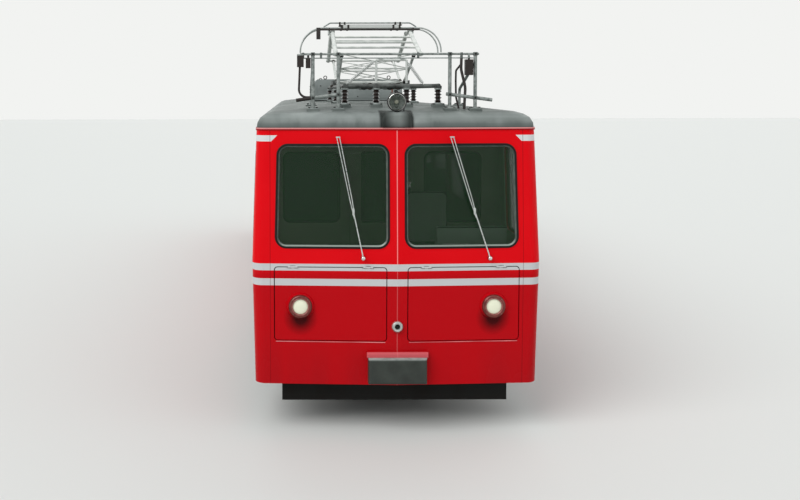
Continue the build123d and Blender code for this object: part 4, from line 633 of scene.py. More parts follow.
class Piece:
    """One named piece while it is built; done() makes it ride on its body. Edges sharper than
    crisp, in degrees, stay sharp to the eye."""

    def __init__(self, name, material, slot, body="car_body", stands_for=(), crisp=32):
        self.name, self.material, self.slot = name, material, slot
        self.body, self.stands_for, self.crisp = body, stands_for, crisp
        self.mesh = bmesh.new()

    def block(self, low, high, bevel=0.002, place=None):
        """A block between two corners, with eased edges."""
        size = [b - a for a, b in zip(low, high)]
        middle = Matrix.Translation([(a + b) / 2 for a, b in zip(low, high)])
        made = bmesh.ops.create_cube(self.mesh, size=1, matrix=middle @ Matrix.Diagonal((*size, 1)))
        verts = made["verts"]
        if bevel:
            edges = list({edge for vert in verts for edge in vert.link_edges})
            eased = bmesh.ops.bevel(
                self.mesh, geom=edges, offset=bevel, segments=2, profile=0.7, affect="EDGES",
                clamp_overlap=True,
            )
            rounding = {vert for face in eased["faces"] for vert in face.verts}
            verts = list(rounding | {v for v in verts if v.is_valid})
        if place:
            bmesh.ops.transform(self.mesh, matrix=place, verts=verts)
        return self

    def skin_rings(self, rings, closed=False, capped=True):
        """Faces between rings of points, and over the two ends."""
        rows = [[self.mesh.verts.new(p) for p in ring] for ring in rings]
        pairs = list(zip(rows, rows[1:])) + ([(rows[-1], rows[0])] if closed else [])
        for first, second in pairs:
            count = max(len(first), len(second))
            for i in range(count):
                j = (i + 1) % count
                corners = [row[k % len(row)] for row, k in ((first, i), (first, j), (second, j), (second, i))]
                corners = list(dict.fromkeys(corners))
                if len(corners) > 2:
                    self.mesh.faces.new(corners)
        if capped and not closed:
            for row in (rows[0], rows[-1]):
                if len(row) > 2:
                    self.mesh.faces.new(row)
        return self

    def tube(self, points, radius, sides=12, closed=False):
        """A round bar along a line, mitred at its corners."""
        points = [Vector(p) for p in points]
        count = len(points)
        heading = (points[1] - points[0]).normalized()
        across = heading.orthogonal().normalized()
        rings = []
        for i, point in enumerate(points):
            on = (points[(i + 1) % count] - point) if closed or i < count - 1 else (point - points[i - 1])
            back = (point - points[i - 1]) if closed or i else on
            on, back = on.normalized(), back.normalized()
            middle = (on + back).normalized()
            across = (across - across.project(middle)).normalized()
            other = middle.cross(across)
            widen = 1 / max(0.3, middle.dot(on))
            bend = on - back
            bend = (bend - bend.project(middle)).normalized() if bend.length > NO_BEND else None
            ring = []
            for side in range(sides):
                turn = math.tau * side / sides
                spoke = across * math.cos(turn) + other * math.sin(turn)
                if bend:
                    spoke += bend * (spoke.dot(bend) * (widen - 1))
                ring.append(point + spoke * radius)
            rings.append(ring)
        return self.skin_rings(rings, closed)

    def turned(self, profile, place, steps=32):
        """A turned form about the place's Z axis, from radii and heights."""
        rings = [
            circle(radius, height, place, steps) if radius > NO_RADIUS else [place @ Vector((0, 0, height))]
            for radius, height in profile
        ]
        return self.skin_rings(rings, capped=profile[0][0] > NO_RADIUS)

    def turned_ring(self, section, place, steps, size=1.0):
        """A turned ring about the place's Z axis: its section is closed, and size scales radii."""
        rings = [circle(size * radius, height, place, steps) for radius, height in section]
        return self.skin_rings(rings, closed=True)

    def moulding(self, outline, surface, profile):
        """A strip round an outline on a surface: its profile is given across, away from the
        outline's middle, and out of the surface."""
        count = len(outline)
        rings = []
        for i, (u, v) in enumerate(outline):
            before, after = outline[i - 1], outline[(i + 1) % count]
            run = Vector((after[0] - before[0], after[1] - before[1])).normalized()
            away = Vector((run.y, -run.x))
            rings.append([surface(u + away.x * across, v + away.y * across, out) for across, out in profile])
        return self.skin_rings(rings, closed=True)

    def plate(self, outline, surface, back, front):
        """A flat plate that fills an outline, between two depths of the surface."""
        return self.skin_rings([[surface(u, v, out) for u, v in outline] for out in (back, front)])

    def taken_out(self):
        """The built mesh, with its faces turned outwards."""
        bmesh.ops.recalc_face_normals(self.mesh, faces=self.mesh.faces)
        data = bpy.data.meshes.new(self.name)
        self.mesh.to_mesh(data)
        self.mesh.free()
        return data

    def done(self):
        """Joins the points that meet and puts the piece on its body."""
        bmesh.ops.remove_doubles(self.mesh, verts=self.mesh.verts, dist=JOINED)
        data = self.taken_out()
        place_mesh(self.name, data, self.material, self.body, self.stands_for, self.crisp)


def place_mesh(name, data, material, body, stands_for=(), crisp=32):
    """A finished mesh as a piece that rides on its body."""
    data.materials.clear()
    data.materials.append(material)
    data.polygons.foreach_set("use_smooth", [True] * len(data.polygons))
    data.set_sharp_from_angle(angle=math.radians(crisp))
    piece = put(name, data)
    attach(piece, body)
    if stands_for:
        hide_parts(*stands_for)
    return piece


def outline_of(corners, radius, steps=8):
    """A closed outline with round corners, anticlockwise as seen on its surface."""
    flat = [(u, v, 0) for u, v in corners]
    return [(p.x, p.y) for p in rounded(flat, radius, steps, closed=True)]


def rectangle(u0, u1, v0, v1):
    """The corners of a rectangle, anticlockwise."""
    return [(u0, v0), (u1, v0), (u1, v1), (u0, v1)]


def mirror_outline(outline):
    """The same outline on the other side of the car, still anticlockwise."""
    return [(-u, v) for u, v in reversed(outline)]


def at_point(x, y, z):
    """A place that stands upright at a point."""
    return Matrix.Translation((x, y, z))


# ---------------------------------------------------------------- repeats by geometry nodes


def repeat_tree(name, sockets):
    """A geometry tree with named inputs; returns it with its two ends."""
    tree = bpy.data.node_groups.new(name, "GeometryNodeTree")
    tree.interface.new_socket("Geometry", in_out="OUTPUT", socket_type="NodeSocketGeometry")
    tree.interface.new_socket("Geometry", in_out="INPUT", socket_type="NodeSocketGeometry")
    for label, kind in sockets:
        tree.interface.new_socket(label, in_out="INPUT", socket_type=f"NodeSocket{kind}")
    return tree, add(tree, "NodeGroupInput"), add(tree, "NodeGroupOutput")


def finish_tree(tree, made, start, end):
    """Ends a tree in real geometry with its material."""
    real = add(tree, "GeometryNodeRealizeInstances", {"Geometry": made.outputs[0]})
    paint = {"Geometry": real.outputs[0], "Material": start.outputs["Material"]}
    painted = add(tree, "GeometryNodeSetMaterial", paint)
    tree.links.new(painted.outputs[0], end.inputs[0])
    return tree


def bolt_tree():
    """A hexagon head with its washer at each point, standing along the point's facing. The head
    is lifted a little off the surface, and the washer is wider and thinner than it."""
    tree, start, end = repeat_tree(
        "bolts_at_points", (("Head Radius", "Float"), ("Head Height", "Float"), ("Material", "Material"))
    )
    height = start.outputs["Head Height"]
    radius = start.outputs["Head Radius"]
    hexagon = {"Vertices": 6, "Radius": radius, "Depth": height}
    head = add(tree, "GeometryNodeMeshCylinder", hexagon, fill_type="NGON")
    rise = add(tree, "ShaderNodeMath", {0: height, 1: 0.6}, operation="MULTIPLY").outputs[0]
    rise = add(tree, "ShaderNodeCombineXYZ", {2: rise}).outputs[0]
    lifted = add(tree, "GeometryNodeTransform", {"Geometry": head.outputs["Mesh"], "Translation": rise})
    wide = add(tree, "ShaderNodeMath", {0: radius, 1: 1.35}, operation="MULTIPLY").outputs[0]
    thin = add(tree, "ShaderNodeMath", {0: height, 1: 0.3}, operation="MULTIPLY").outputs[0]
    disc = {"Vertices": 14, "Radius": wide, "Depth": thin}
    washer = add(tree, "GeometryNodeMeshCylinder", disc, fill_type="NGON")
    both = add(tree, "GeometryNodeJoinGeometry")
    for part in (lifted.outputs[0], washer.outputs["Mesh"]):
        tree.links.new(part, both.inputs[0])
    facing = add(tree, "GeometryNodeInputNamedAttribute", {"Name": "facing"}, data_type="FLOAT_VECTOR")
    turn = add(tree, "FunctionNodeAlignRotationToVector", {"Vector": facing.outputs[0]}, axis="Z")
    placed = add(
        tree, "GeometryNodeInstanceOnPoints",
        {"Points": start.outputs["Geometry"], "Instance": both.outputs[0], "Rotation": turn.outputs[0]},
    )
    return finish_tree(tree, placed, start, end)


def coil_tree():
    """A wound spring that stands on the origin along Z: round wire swept along a spiral."""
    sizes = [(label, "Float") for label in ("Coil Radius", "Wire Radius", "Length", "Turns")]
    tree, start, end = repeat_tree("wound_spring", (*sizes, ("Material", "Material")))
    radius = start.outputs["Coil Radius"]
    spiral = add(
        tree, "GeometryNodeCurveSpiral",
        {"Resolution": 20, "Rotations": start.outputs["Turns"], "Start Radius": radius,
         "End Radius": radius, "Height": start.outputs["Length"]},
    )
    section = {"Resolution": 7, "Radius": start.outputs["Wire Radius"]}
    wire = add(tree, "GeometryNodeCurvePrimitiveCircle", section)
    sweep = {"Curve": spiral.outputs[0], "Profile Curve": wire.outputs[0], "Fill Caps": True}
    return finish_tree(tree, add(tree, "GeometryNodeCurveToMesh", sweep), start, end)


BOLTS, COIL = bolt_tree(), coil_tree()


def grown(tree, seed_mesh, place=None, **inputs):
    """The plain mesh that a geometry tree makes of a seed mesh."""
    seed = put("seed", seed_mesh)
    grow = seed.modifiers.new("grow", "NODES")
    grow.node_group = tree
    names = {item.name: item.identifier for item in tree.interface.items_tree if item.in_out == "INPUT"}
    for label, value in inputs.items():
        grow[names[label.replace("_", " ")]] = value
    seed.update_tag()
    made = settled(seed)
    seed.modifiers.remove(grow)
    bpy.data.objects.remove(seed)
    if place:
        made.transform(place)
    return made


def bolts(name, points, radius, height, body="car_body", material=SPRING_STEEL):
    """Bolt heads at points, each given with the way that it faces."""
    seed = bpy.data.meshes.new(name)
    seed.from_pydata([tuple(p) for p, facing in points], [], [])
    facing = seed.attributes.new("facing", "FLOAT_VECTOR", "POINT")
    facing.data.foreach_set("vector", [value for p, way in points for value in way])
    made = grown(BOLTS, seed, Head_Radius=radius, Head_Height=height, Material=material)
    place_mesh(name, made, material, body)


def coil(name, start, end, radius, wire, turns, material):
    """One wound spring on the car's body, between two points."""
    start, end = Vector(start), Vector(end)
    made = grown(
        COIL, bpy.data.meshes.new(name), aim(start, end - start), Coil_Radius=radius, Wire_Radius=wire,
        Length=(end - start).length, Turns=turns, Material=material,
    )
    place_mesh(name, made, material, "car_body", crisp=60)


# ---------------------------------------------------------------- windows and their seals

# A windscreen's corners: across, height. The seal's and the filler's profiles: across, out.
SCREEN = ((0.070, 1.638), (1.066, 1.638), (1.046, 2.542), (0.070, 2.542))
SEAL_PROFILE = (
    (-0.012, -0.012), (-0.013, 0.005), (-0.008, 0.009), (-0.003, 0.0095), (0.003, 0.007), (0.006, 0.001),
    (0.005, -0.004),
)
# The filler strip leans inwards, so that only the sill's run faces the sky.
FILLER_PROFILE = (
    (-0.0255, -0.014), (-0.0255, -0.0085), (-0.0225, -0.0060), (-0.0145, 0.0040), (-0.0110, 0.0040),
    (-0.0110, -0.014),
)
SLIM_PROFILE = (
    (-0.010, -0.012), (-0.011, 0.003), (-0.003, 0.007), (0.008, 0.007), (0.014, 0.002), (0.012, -0.004),
)
# A sliding door passes 6 mm behind the wall, so its seals and its pull stay nearly flush.
FLUSH_PROFILE = (
    (-0.010, -0.012), (-0.011, 0.001), (-0.004, 0.0043), (0.008, 0.0043), (0.014, 0.001), (0.012, -0.004),
)
PULL_RIM = (
    (0.0, -0.002), (0.0, 0.0025), (-0.0025, 0.0045), (-0.0060, 0.0045), (-0.0110, 0.0010), (-0.0110, -0.002),
)
# The rubber round a door's opening, across the wall's whole edge.
FRAME_PROFILE = ((-0.006, -0.048), (-0.006, -0.004), (0.0, 0.002), (0.010, 0.0015), (0.010, -0.002), (0.0, -0.048))


def mouldings(name, material, openings, profile, body="car_body"):
    """A strip of one profile round each opening, given as its outline and its surface."""
    strip = Piece(name, material, "glass", body, crisp=50)
    for outline, surface in openings:
        strip.moulding(outline, surface, profile)
    strip.done()


def filled_seals(name, openings):
    """A rubber seal round each opening, and the filler strip pressed into it."""
    mouldings(f"{name}_seals", SEAL_RUBBER, openings, SEAL_PROFILE)
    mouldings(f"{name}_fillers", FILLER_STRIP, openings, FILLER_PROFILE)


screen = outline_of(SCREEN, 0.095)
filled_seals("windscreen", [(screen, on_nose), (mirror_outline(screen), on_nose)])

WINDOW_Z = (1.628, 2.478)
SIDE_WINDOWS = ((-5.8, -4.95), (-2.7, -1.5), (-1.3, -0.1), (0.1, 1.3), (1.5, 2.7), (4.95, 5.8))
for label, side in SIDES:
    panes = [outline_of(rectangle(y0, y1, *WINDOW_Z), 0.09) for y0, y1 in SIDE_WINDOWS]
    filled_seals(f"side_window_{label}", [(pane, side_surface(side)) for pane in panes])
rear_pane = outline_of(rectangle(0.330, 0.980, *WINDOW_Z), 0.09)
filled_seals("rear_window", [(rear_pane, on_rear), (mirror_outline(rear_pane), on_rear)])

# Doors: end of the car, front edge of the opening, way that the leaf slides.
DOORS = (("front", -4.55, 1), ("rear", 3.70, -1))
DOOR_WIDTH, DOOR_TOP, DOOR_INSET = 0.850, 2.528, 0.056
DOOR_PANE_EDGE, DOOR_PANE_Z = 0.13, (1.528, 2.428)
PULL_EDGE, KICK_Z, SILL_Z = 0.070, (0.985, 1.095), (0.953, 0.9585)
for label, side in SIDES:
    leaf = side_surface(side, DOOR_INSET)
    for end, y0, way in DOORS:
        y1 = y0 + DOOR_WIDTH
        body = f"door_{label}_{end}"
        pane = outline_of(rectangle(y0 + DOOR_PANE_EDGE, y1 - DOOR_PANE_EDGE, *DOOR_PANE_Z), 0.07)
        mouldings(f"{body}_seals", SEAL_RUBBER, [(pane, leaf)], FLUSH_PROFILE, body)
        # A flush pull on the closing edge: a shallow dish with a finger bar down its middle.
        y = y0 + PULL_EDGE if way > 0 else y1 - PULL_EDGE
        pull = Piece(f"{body}_handle", BRIGHT_ROD, "wiper_steel", body)
        pull.moulding(outline_of(rectangle(y - 0.034, y + 0.034, 1.200, 1.460), 0.026), leaf, PULL_RIM)
        dish = outline_of(rectangle(y - 0.0245, y + 0.0245, 1.2095, 1.4505), 0.017)
        pull.plate(dish, leaf, -0.002, 0.0008)
        pull.plate(outline_of(rectangle(y - 0.006, y + 0.006, 1.235, 1.425), 0.005), leaf, 0.0, 0.0042)
        pull.done()
        # Kick strip along the bottom of the leaf.
        strip = Piece(f"{body}_kick_strip", FILLER_STRIP, "wiper_steel", body)
        strip.plate(outline_of(rectangle(y0 + 0.02, y1 - 0.02, *KICK_Z), 0.008), leaf, 0.0, 0.002)
        strip.done()

# Door sills, and a rubber frame round each side door opening.
for label, side in SIDES:
    sill = Piece(f"door_sills_{label}", FILLER_STRIP, "wiper_steel")
    inner, outer = sorted(side * (skin(FLOOR_Z, 1) + out) for out in (-0.040, 0.012))
    for end, y0, way in DOORS:
        sill.block((inner, y0 + 0.004, SILL_Z[0]), (outer, y0 + DOOR_WIDTH - 0.004, SILL_Z[1]), 0.001)
    sill.done()
    openings = [outline_of(rectangle(y0, y0 + DOOR_WIDTH, FLOOR_Z, DOOR_TOP), 0.06) for end, y0, way in DOORS]
    frames = [(opening, side_surface(side)) for opening in openings]
    mouldings(f"door_frame_seals_{label}", SEAL_RUBBER, frames, FRAME_PROFILE)

# ---------------------------------------------------------------- lamps, socket, wipers

# Turned forms of the headlights and the towing socket: radius, height off the nose.
BEZEL_RING = (
    (0.067, 0.020), (0.067, 0.034), (0.072, 0.041), (0.083, 0.045), (0.095, 0.041), (0.102, 0.031),
    (0.103, 0.018), (0.103, -0.040), (0.067, -0.040),
)
RETAINER_RING = (
    (0.0655, 0.030), (0.066, 0.0375), (0.069, 0.0435), (0.0735, 0.0455), (0.078, 0.042), (0.074, 0.030),
)
LENS = (
    (0, 0.042), (0.022, 0.0415), (0.042, 0.039), (0.058, 0.035), (0.066, 0.031), (0.067, 0.028),
    (0.067, 0.012), (0, 0.012),
)
HOUSING = ((0.103, -0.039), (0.103, -0.046), (0.086, -0.062), (0.068, -0.1), (0.050, -0.105), (0, -0.105))
SOCKET_RING = ((0.022, 0.004), (0.022, 0.021), (0.026, 0.027), (0.039, 0.029), (0.048, 0.021), (0.0505, 0.004))
SOCKET_PLUG = ((0, 0.016), (0.008, 0.016), (0.010, 0.011), (0.022, 0.011), (0.0225, -0.006), (0, -0.006))
for label, side in SIDES:
    place = aim(on_nose(side * LAMP_X, LAMP_Z), (0, -1, 0))
    body = f"hatch_{label}"
    bezel = Piece(f"headlight_bezel_{label}", BEZEL, "headlight", body, (f"headlight_{label}",), 50)
    bezel.turned_ring(BEZEL_RING, place, 48).done()
    retainer = Piece(f"headlight_retainer_{label}", RETAINER, "headlight", body, crisp=50)
    retainer.turned_ring(RETAINER_RING, place, 48).done()
    Piece(f"headlight_lens_{label}", LAMP_GLASS, "headlight", body, crisp=60).turned(LENS, place, 48).done()
    Piece(f"headlight_housing_{label}", LAMP_BLACK, "lamp_black", body).turned(HOUSING, place, 40).done()
    # Four screws stand at the diagonals.
    corners = circle(0.089, 0.0445, place @ Matrix.Rotation(math.tau / 8, 4, "Z"), 4)
    screws = [(corner, (0, -1, 0)) for corner in corners]
    bolts(f"headlight_screws_{label}", screws, 0.0035, 0.002, body, RETAINER)

# The towing socket: a machined ring round a dark rubber plug.
socket_place = aim(on_nose(0, 0.952), (0, -1, 0))
Piece("socket_ring", SOCKET_STEEL, "wiper_steel", crisp=45).turned_ring(SOCKET_RING, socket_place, 40).done()
Piece("socket_plug", SEAL_RUBBER, "glass").turned(SOCKET_PLUG, socket_place).done()

# Wipers: spindle, joint and tip, each as across and height.
WIPERS = (
    ((-0.300, 1.558), (-0.384, 1.958), (-0.515, 2.606)),
    ((0.806, 1.552), (0.672, 1.960), (0.476, 2.606)),
)
WIPER_KNOB = (
    (0, -0.004), (0.021, -0.004), (0.021, 0.006), (0.0155, 0.012), (0.0155, 0.040), (0.018, 0.044),
    (0.018, 0.052), (0.012, 0.058), (0, 0.060),
)
# How far the arms stand off the nose, and half the width between an arm's two rods.
STAND, SPREAD = 0.046, Vector((0.0125, 0, 0))
# The blade's section off its line: across, along.
BLADE = ((-0.004, 0.004), (0.004, 0.004), (0.0015, 0.024), (-0.0015, 0.024))
arms = Piece("wiper_arms", BRIGHT_ROD, "wiper_steel", stands_for=("wipers",))
knobs = Piece("wiper_knobs", CHROME, "wiper_steel", crisp=45)
blades = Piece("wiper_blades", SEAL_RUBBER, "glass")
for spindle, joint, tip in WIPERS:
    spindle, joint, tip = (on_nose(x, z, STAND) for x, z in (spindle, joint, tip))
    run = (tip - joint).normalized()
    arms.tube([spindle, joint + run * 0.03], 0.0055)
    for way in (-1, 1):
        first = joint + SPREAD * way * 0.35 - run * (0.06 if way < 0 else 0.0)
        bend = joint + run * 0.11 + SPREAD * way * 0.8
        arms.tube(rounded([first, bend, tip + SPREAD * way], 0.25, 4), 0.0038, 8)
    # The clip that holds both rods, and the blade behind the left rod.
    arms.block((-0.019, -0.006, -0.012), (0.019, 0.006, 0.012), 0.003, aim(tip, (0, -1, 0)))
    arms.block((-0.009, -0.008, -0.028), (0.009, 0.008, 0.028), 0.003, Matrix.Translation(joint))
    knobs.turned(WIPER_KNOB, aim(on_nose(spindle.x, spindle.z), (0, -1, 0)))
    ends = (joint + run * 0.05 - SPREAD * 0.9, tip - SPREAD - run * 0.015)
    blades.skin_rings([[p + Vector((across, along, 0)) for across, along in BLADE] for p in ends])
for made in (arms, knobs, blades):
    made.done()

# ---------------------------------------------------------------- roof headlight

SHELL = (
    (0, 0.100), (0.055, 0.090), (0.0715, 0.060), (0.0725, 0.004), (0.078, 0.004), (0.079, 0.030), (0.077, 0.074),
    (0.062, 0.104), (0.040, 0.119), (0, 0.122),
)
LAMP_FOOT = (
    (0, -0.002), (0.074, -0.002), (0.070, 0.006), (0.046, 0.014), (0.030, 0.026), (0.026, 0.040), (0.030, 0.052),
    (0, 0.052),
)
CLAMP_BAND = ((0.0745, 0.010), (0.0745, -0.001), (0.080, -0.004), (0.086, -0.001), (0.087, 0.012), (0.081, 0.022))
RIM = ((0.0690, 0.008), (0.0695, -0.001), (0.0715, -0.004), (0.0742, -0.002), (0.0742, 0.009))
ROOF_LENS = ((0, -0.006), (0.03, -0.004), (0.055, 0.000), (0.0692, 0.005), (0.0692, 0.008), (0, 0.008))
BOWL = (
    (0.070, 0.0145), (0.052, 0.030), (0.030, 0.045), (0.012, 0.050), (0.012, 0.052), (0.032, 0.047),
    (0.054, 0.032), (0.0715, 0.0155),
)
lamp_low, lamp_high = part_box("roof_headlight")
lamp_front, lamp_foot = lamp_low.y, lamp_low.z
barrel = aim(Vector((0, lamp_front, lamp_high.z - 0.087)), (0, 1, 0))
shell = Piece("roof_lamp_shell", LAMP_BLACK, "lamp_black", stands_for=("roof_headlight",), crisp=40)
shell.turned(SHELL, barrel, 40)
shell.turned(LAMP_FOOT, at_point(0, lamp_front + 0.058, lamp_foot))
# The lead bends up from the foot, and a black band clamps the lens ring.
lead = [
    (0.064, lamp_front + 0.03, lamp_foot), (0.066, lamp_front + 0.03, lamp_foot + 0.075),
    (0.076, lamp_front + 0.04, lamp_foot + 0.095),
]
shell.tube(rounded(lead, 0.02), 0.0055)
shell.turned_ring(CLAMP_BAND, barrel, 48).done()
Piece("roof_lamp_rim", CHROME, "wiper_steel", crisp=45).turned_ring(RIM, barrel, 48).done()
Piece("roof_lamp_lens", DARK_LENS, "glass", crisp=60).turned(ROOF_LENS, barrel, 40).done()
Piece("roof_lamp_bowl", REFLECTOR, "wiper_steel", crisp=60).turned_ring(BOWL, barrel, 40).done()
Piece("roof_lamp_bulb", LAMP_GLASS, "headlight", crisp=60).turned(ball(0.019, 0.034), barrel, 16).done()
# The pressed cover over the fairing: sides and front roll over into its top.
cover = Piece("roof_lamp_fairing_cover", ROOF_GREY, "roof_paint", crisp=60)
# Sections: place along, half width, top.
COVER = (
    (-6.128, 0.112, 2.760), (-6.140, 0.122, 2.787), (-6.141, 0.129, 2.806), (-6.130, 0.133, 2.820),
    (-6.108, 0.1345, 2.829), (-6.060, 0.135, 2.834), (-5.872, 0.135, 2.834),
)
COVER_ROLL, COVER_FOOT = 0.075, 2.690
rings = []
for y, half, top in COVER:
    corner = [(-half, 0, COVER_FOOT), (-half, 0, top), (half, 0, top), (half, 0, COVER_FOOT)]
    rings.append([Vector((p.x, y, p.z)) for p in rounded(corner, COVER_ROLL)])
cover.skin_rings(rings)
cover.done()

# ---------------------------------------------------------------- nose trim

# Rubbed lip under each hatch, painted pale pink as a highlight: the edge catches the light as a thin pale line.
lips = Piece("hatch_drip_lips", LIP_HIGHLIGHT_RED, "red_paint")
for side in (-1, 1):
    lips.tube([on_nose(side * x, 0.8075, 0.0005) for x in (0.104, 1.062)], 0.0034, 8)
lips.done()
# A flat rubber strip at the bottom of the gap round each hatch.
hatch = outline_of(rectangle(0.088, 1.078, 0.814, 1.474), 0.034)
mouldings(
    "hatch_gap_seals", SEAL_RUBBER, [(hatch, on_nose), (mirror_outline(hatch), on_nose)],
    ((-0.024, -0.050), (-0.024, -0.0435), (0.0, -0.0435), (0.0, -0.050)),
)

# ---------------------------------------------------------------- cushions

ROWS = (-2.2, -1.1, 0.0, 1.1, 2.2)
PAD_EDGE = 0.014
CHANNEL_WIDTH, CHANNEL_DEPTH = 0.022, 0.009
VOXEL = 0.0125
SWELL_FRAMES = 20
# How a pad's cloth swells: its weight, its stiffness, the pressure inside it and the points that
# its seams hold.
SWELL = {
    "quality": 6, "mass": 0.2, "tension_stiffness": 12, "compression_stiffness": 12, "bending_stiffness": 0.6,
    "use_pressure": True, "uniform_pressure_force": 4, "vertex_group_mass": "held",
}


def pad_outline(size, corner, draw_in):
    """The pad's plan, drawn in by some distance."""
    x, y = size[0] / 2 - draw_in, size[1] / 2 - draw_in
    return outline_of(rectangle(-x, x, -y, y), corner - draw_in, 5)


def outside(point, size, corner):
    """How far a point lies outside the pad's plan; less than nothing inside."""
    x = abs(point.x) - size[0] / 2 + corner
    y = abs(point.y) - size[1] / 2 + corner
    return math.hypot(max(x, 0), max(y, 0)) + min(max(x, y), 0) - corner


def pad_mesh(name, size, corner, channels, cap):
    """A sewn pad lying flat with its face up. Its piped edges and sewn channels hold while the
    cloth between them swells under pressure, by no more than the cap."""
    half = size[2] / 2
    form = Piece(f"{name}_form", SEAT_CLOTH, "seat_fabric")
    form.skin_rings([
        [(x, y, z) for x, y in pad_outline(size, corner, draw_in)]
        for draw_in, z in ((PAD_EDGE, -half), (0, PAD_EDGE - half), (0, half - PAD_EDGE), (PAD_EDGE, half))
    ])
    seed = put(form.name, form.taken_out())
    remesh = seed.modifiers.new("remesh", "REMESH")
    remesh.mode = "VOXEL"
    remesh.voxel_size = VOXEL
    start = settled(seed)
    bpy.data.objects.remove(seed)
    pad = put(name, start)
    held = pad.vertex_groups.new(name="held")
    for vertex in start.vertices:
        near = min(abs(vertex.co.x - across) for across in channels)
        if near < CHANNEL_WIDTH and vertex.co.z > 0:
            vertex.co.z -= CHANNEL_DEPTH * (1 - near / CHANNEL_WIDTH)
        on_channel = near < VOXEL and vertex.co.z > 0
        on_piping = outside(vertex.co, size, corner) > -PAD_EDGE and abs(vertex.co.z) > half - PAD_EDGE
        if on_channel or on_piping:
            held.add([vertex.index], 1.0, "REPLACE")
    before = [vertex.co.copy() for vertex in start.vertices]
    cloth = pad.modifiers.new("swell", "CLOTH")
    for setting, value in SWELL.items():
        setattr(cloth.settings, setting, value)
    cloth.settings.effector_weights.gravity = 0
    cloth.collision_settings.use_collision = False
    for frame_number in range(1, SWELL_FRAMES + 1):
        bpy.context.scene.frame_set(frame_number)
    swollen = settled(pad)
    bpy.data.objects.remove(pad)
    bpy.context.scene.frame_set(1)
    for vertex, was in zip(swollen.vertices, before):
        move = vertex.co - was
        if move.length > cap:
            vertex.co = was + move * cap / move.length
        vertex.co.z = max(vertex.co.z, -half)
    return swollen


# Pads: plan and thickness, corner, sewn channels, cap on the swelling.
BENCH_SEAT = ((0.757, 0.401, 0.072), 0.045, (0.0,), 0.013)
BENCH_BACK = ((0.757, 0.531, 0.050), 0.050, (0.0,), 0.011)
DRIVER_SEAT = ((0.408, 0.368, 0.072), 0.050, (-0.125, 0.125), 0.013)
DRIVER_BACK = ((0.408, 0.502, 0.050), 0.055, (-0.125, 0.125), 0.011)
pads = {
    name: (pad_mesh(name, *form), form)
    for name, form in (
        ("bench_seat_pad", BENCH_SEAT), ("bench_back_pad", BENCH_BACK),
        ("driver_seat_pad", DRIVER_SEAT), ("driver_back_pad", DRIVER_BACK),
    )
}
upright_pad = Matrix.Rotation(math.pi / 2, 4, "X")
# A bench's back leans as its frame does: so far along the car over its height.
lean_back = Matrix.Identity(4)
lean_back[1][2] = 0.0753 / 0.5397
SEAT_X, DRIVER_X = 0.7225, 0.42
# Places: pad, piece, piping that goes with it, place.
pad_places = [
    ("driver_seat_pad", "driver_seat_cushion", "driver", at_point(DRIVER_X, -5.2003, 1.4495)),
    ("driver_back_pad", "driver_back_cushion", "driver", at_point(DRIVER_X, -4.9775, 1.7508) @ upright_pad),
]
for label, side in SIDES:
    for number, row in enumerate(ROWS, start=1):
        seat = at_point(side * SEAT_X, row - 0.0053, 1.3945)
        back = at_point(side * SEAT_X, row + 0.285, 1.7085) @ lean_back @ upright_pad
        pad_places += [
            ("bench_seat_pad", f"bench_seat_{label}_{number}", label, seat),
            ("bench_back_pad", f"bench_back_{label}_{number}", label, back),
        ]
piping = {
    label: Piece(f"seat_piping_{label}", PIPING, "seat_fabric", crisp=60)
    for label in ("driver", "right", "left")
}
for pad, name, label, place in pad_places:
    shape, (size, corner, channels, cap) = pads[pad]
    data = shape.copy()
    data.transform(place)
    cloth = SEAT_VINYL if label == "driver" else SEAT_CLOTH
    cushion = place_mesh(name, data, cloth, "car_body", ("seat_cushions",), 70)
    # Piping runs round both faces, a little inside the pad's eased edge.
    inset = 0.3 * PAD_EDGE
    for way in (-1, 1):
        rim = way * (size[2] / 2 - inset)
        line = [place @ Vector((x, y, rim)) for x, y in pad_outline(size, corner, inset)]
        piping[label].tube(line, 0.0045, 6, closed=True)
for made in piping.values():
    made.done()

# ---------------------------------------------------------------- saloon

CEILING = 2.8155
covers = Piece("saloon_light_covers", LIGHT_COVER, "partition_panel")
for i in range(6):
    y = -3.55 + i * 1.42
    covers.block((-0.085, y - 0.55, CEILING - 0.036), (0.085, y + 0.55, CEILING), 0.014)
covers.done()
RAIL_X, RAIL_Y, RAIL_Z = 0.42, 4.2, 2.702
HANGER = ((0, 0.0), (0.007, 0.0), (0.007, 0.100), (0.024, 0.102), (0.024, 0.109), (0, 0.109))
# A bench's grip: across, along from its row, height.
GRIP = ((0.375, 0.353, 1.965), (0.375, 0.361, 2.030), (0.555, 0.361, 2.030), (0.555, 0.353, 1.965))
rails = Piece("ceiling_grab_rails", POLE_STEEL, "seat_steel")
grips = Piece("bench_grips", POLE_STEEL, "seat_steel")
for side in (-1, 1):
    ends = ((-RAIL_Y, 2.812), (-RAIL_Y, RAIL_Z), (RAIL_Y, RAIL_Z), (RAIL_Y, 2.812))
    rails.tube(rounded([(side * RAIL_X, y, z) for y, z in ends], 0.09), 0.014)
    for i in range(7):
        rails.turned(HANGER, at_point(side * RAIL_X, -3.6 + i * 1.2, RAIL_Z), 16)
    for row in ROWS:
        grips.tube(rounded([(side * x, row + along, z) for x, along, z in GRIP], 0.024), 0.0105)
rails.done()
grips.done()

# ---------------------------------------------------------------- cab

PARTITION_Y, PARTITION_BACK = -4.75, -4.71


def partition_front(x, z, out=0.0):
    """A point on the partition's face towards the cab."""
    return Vector((x, PARTITION_Y - out, z))


def partition_rear(x, z, out=0.0):
    """A point on the partition's face towards the saloon."""
    return Vector((x, PARTITION_BACK + out, z))


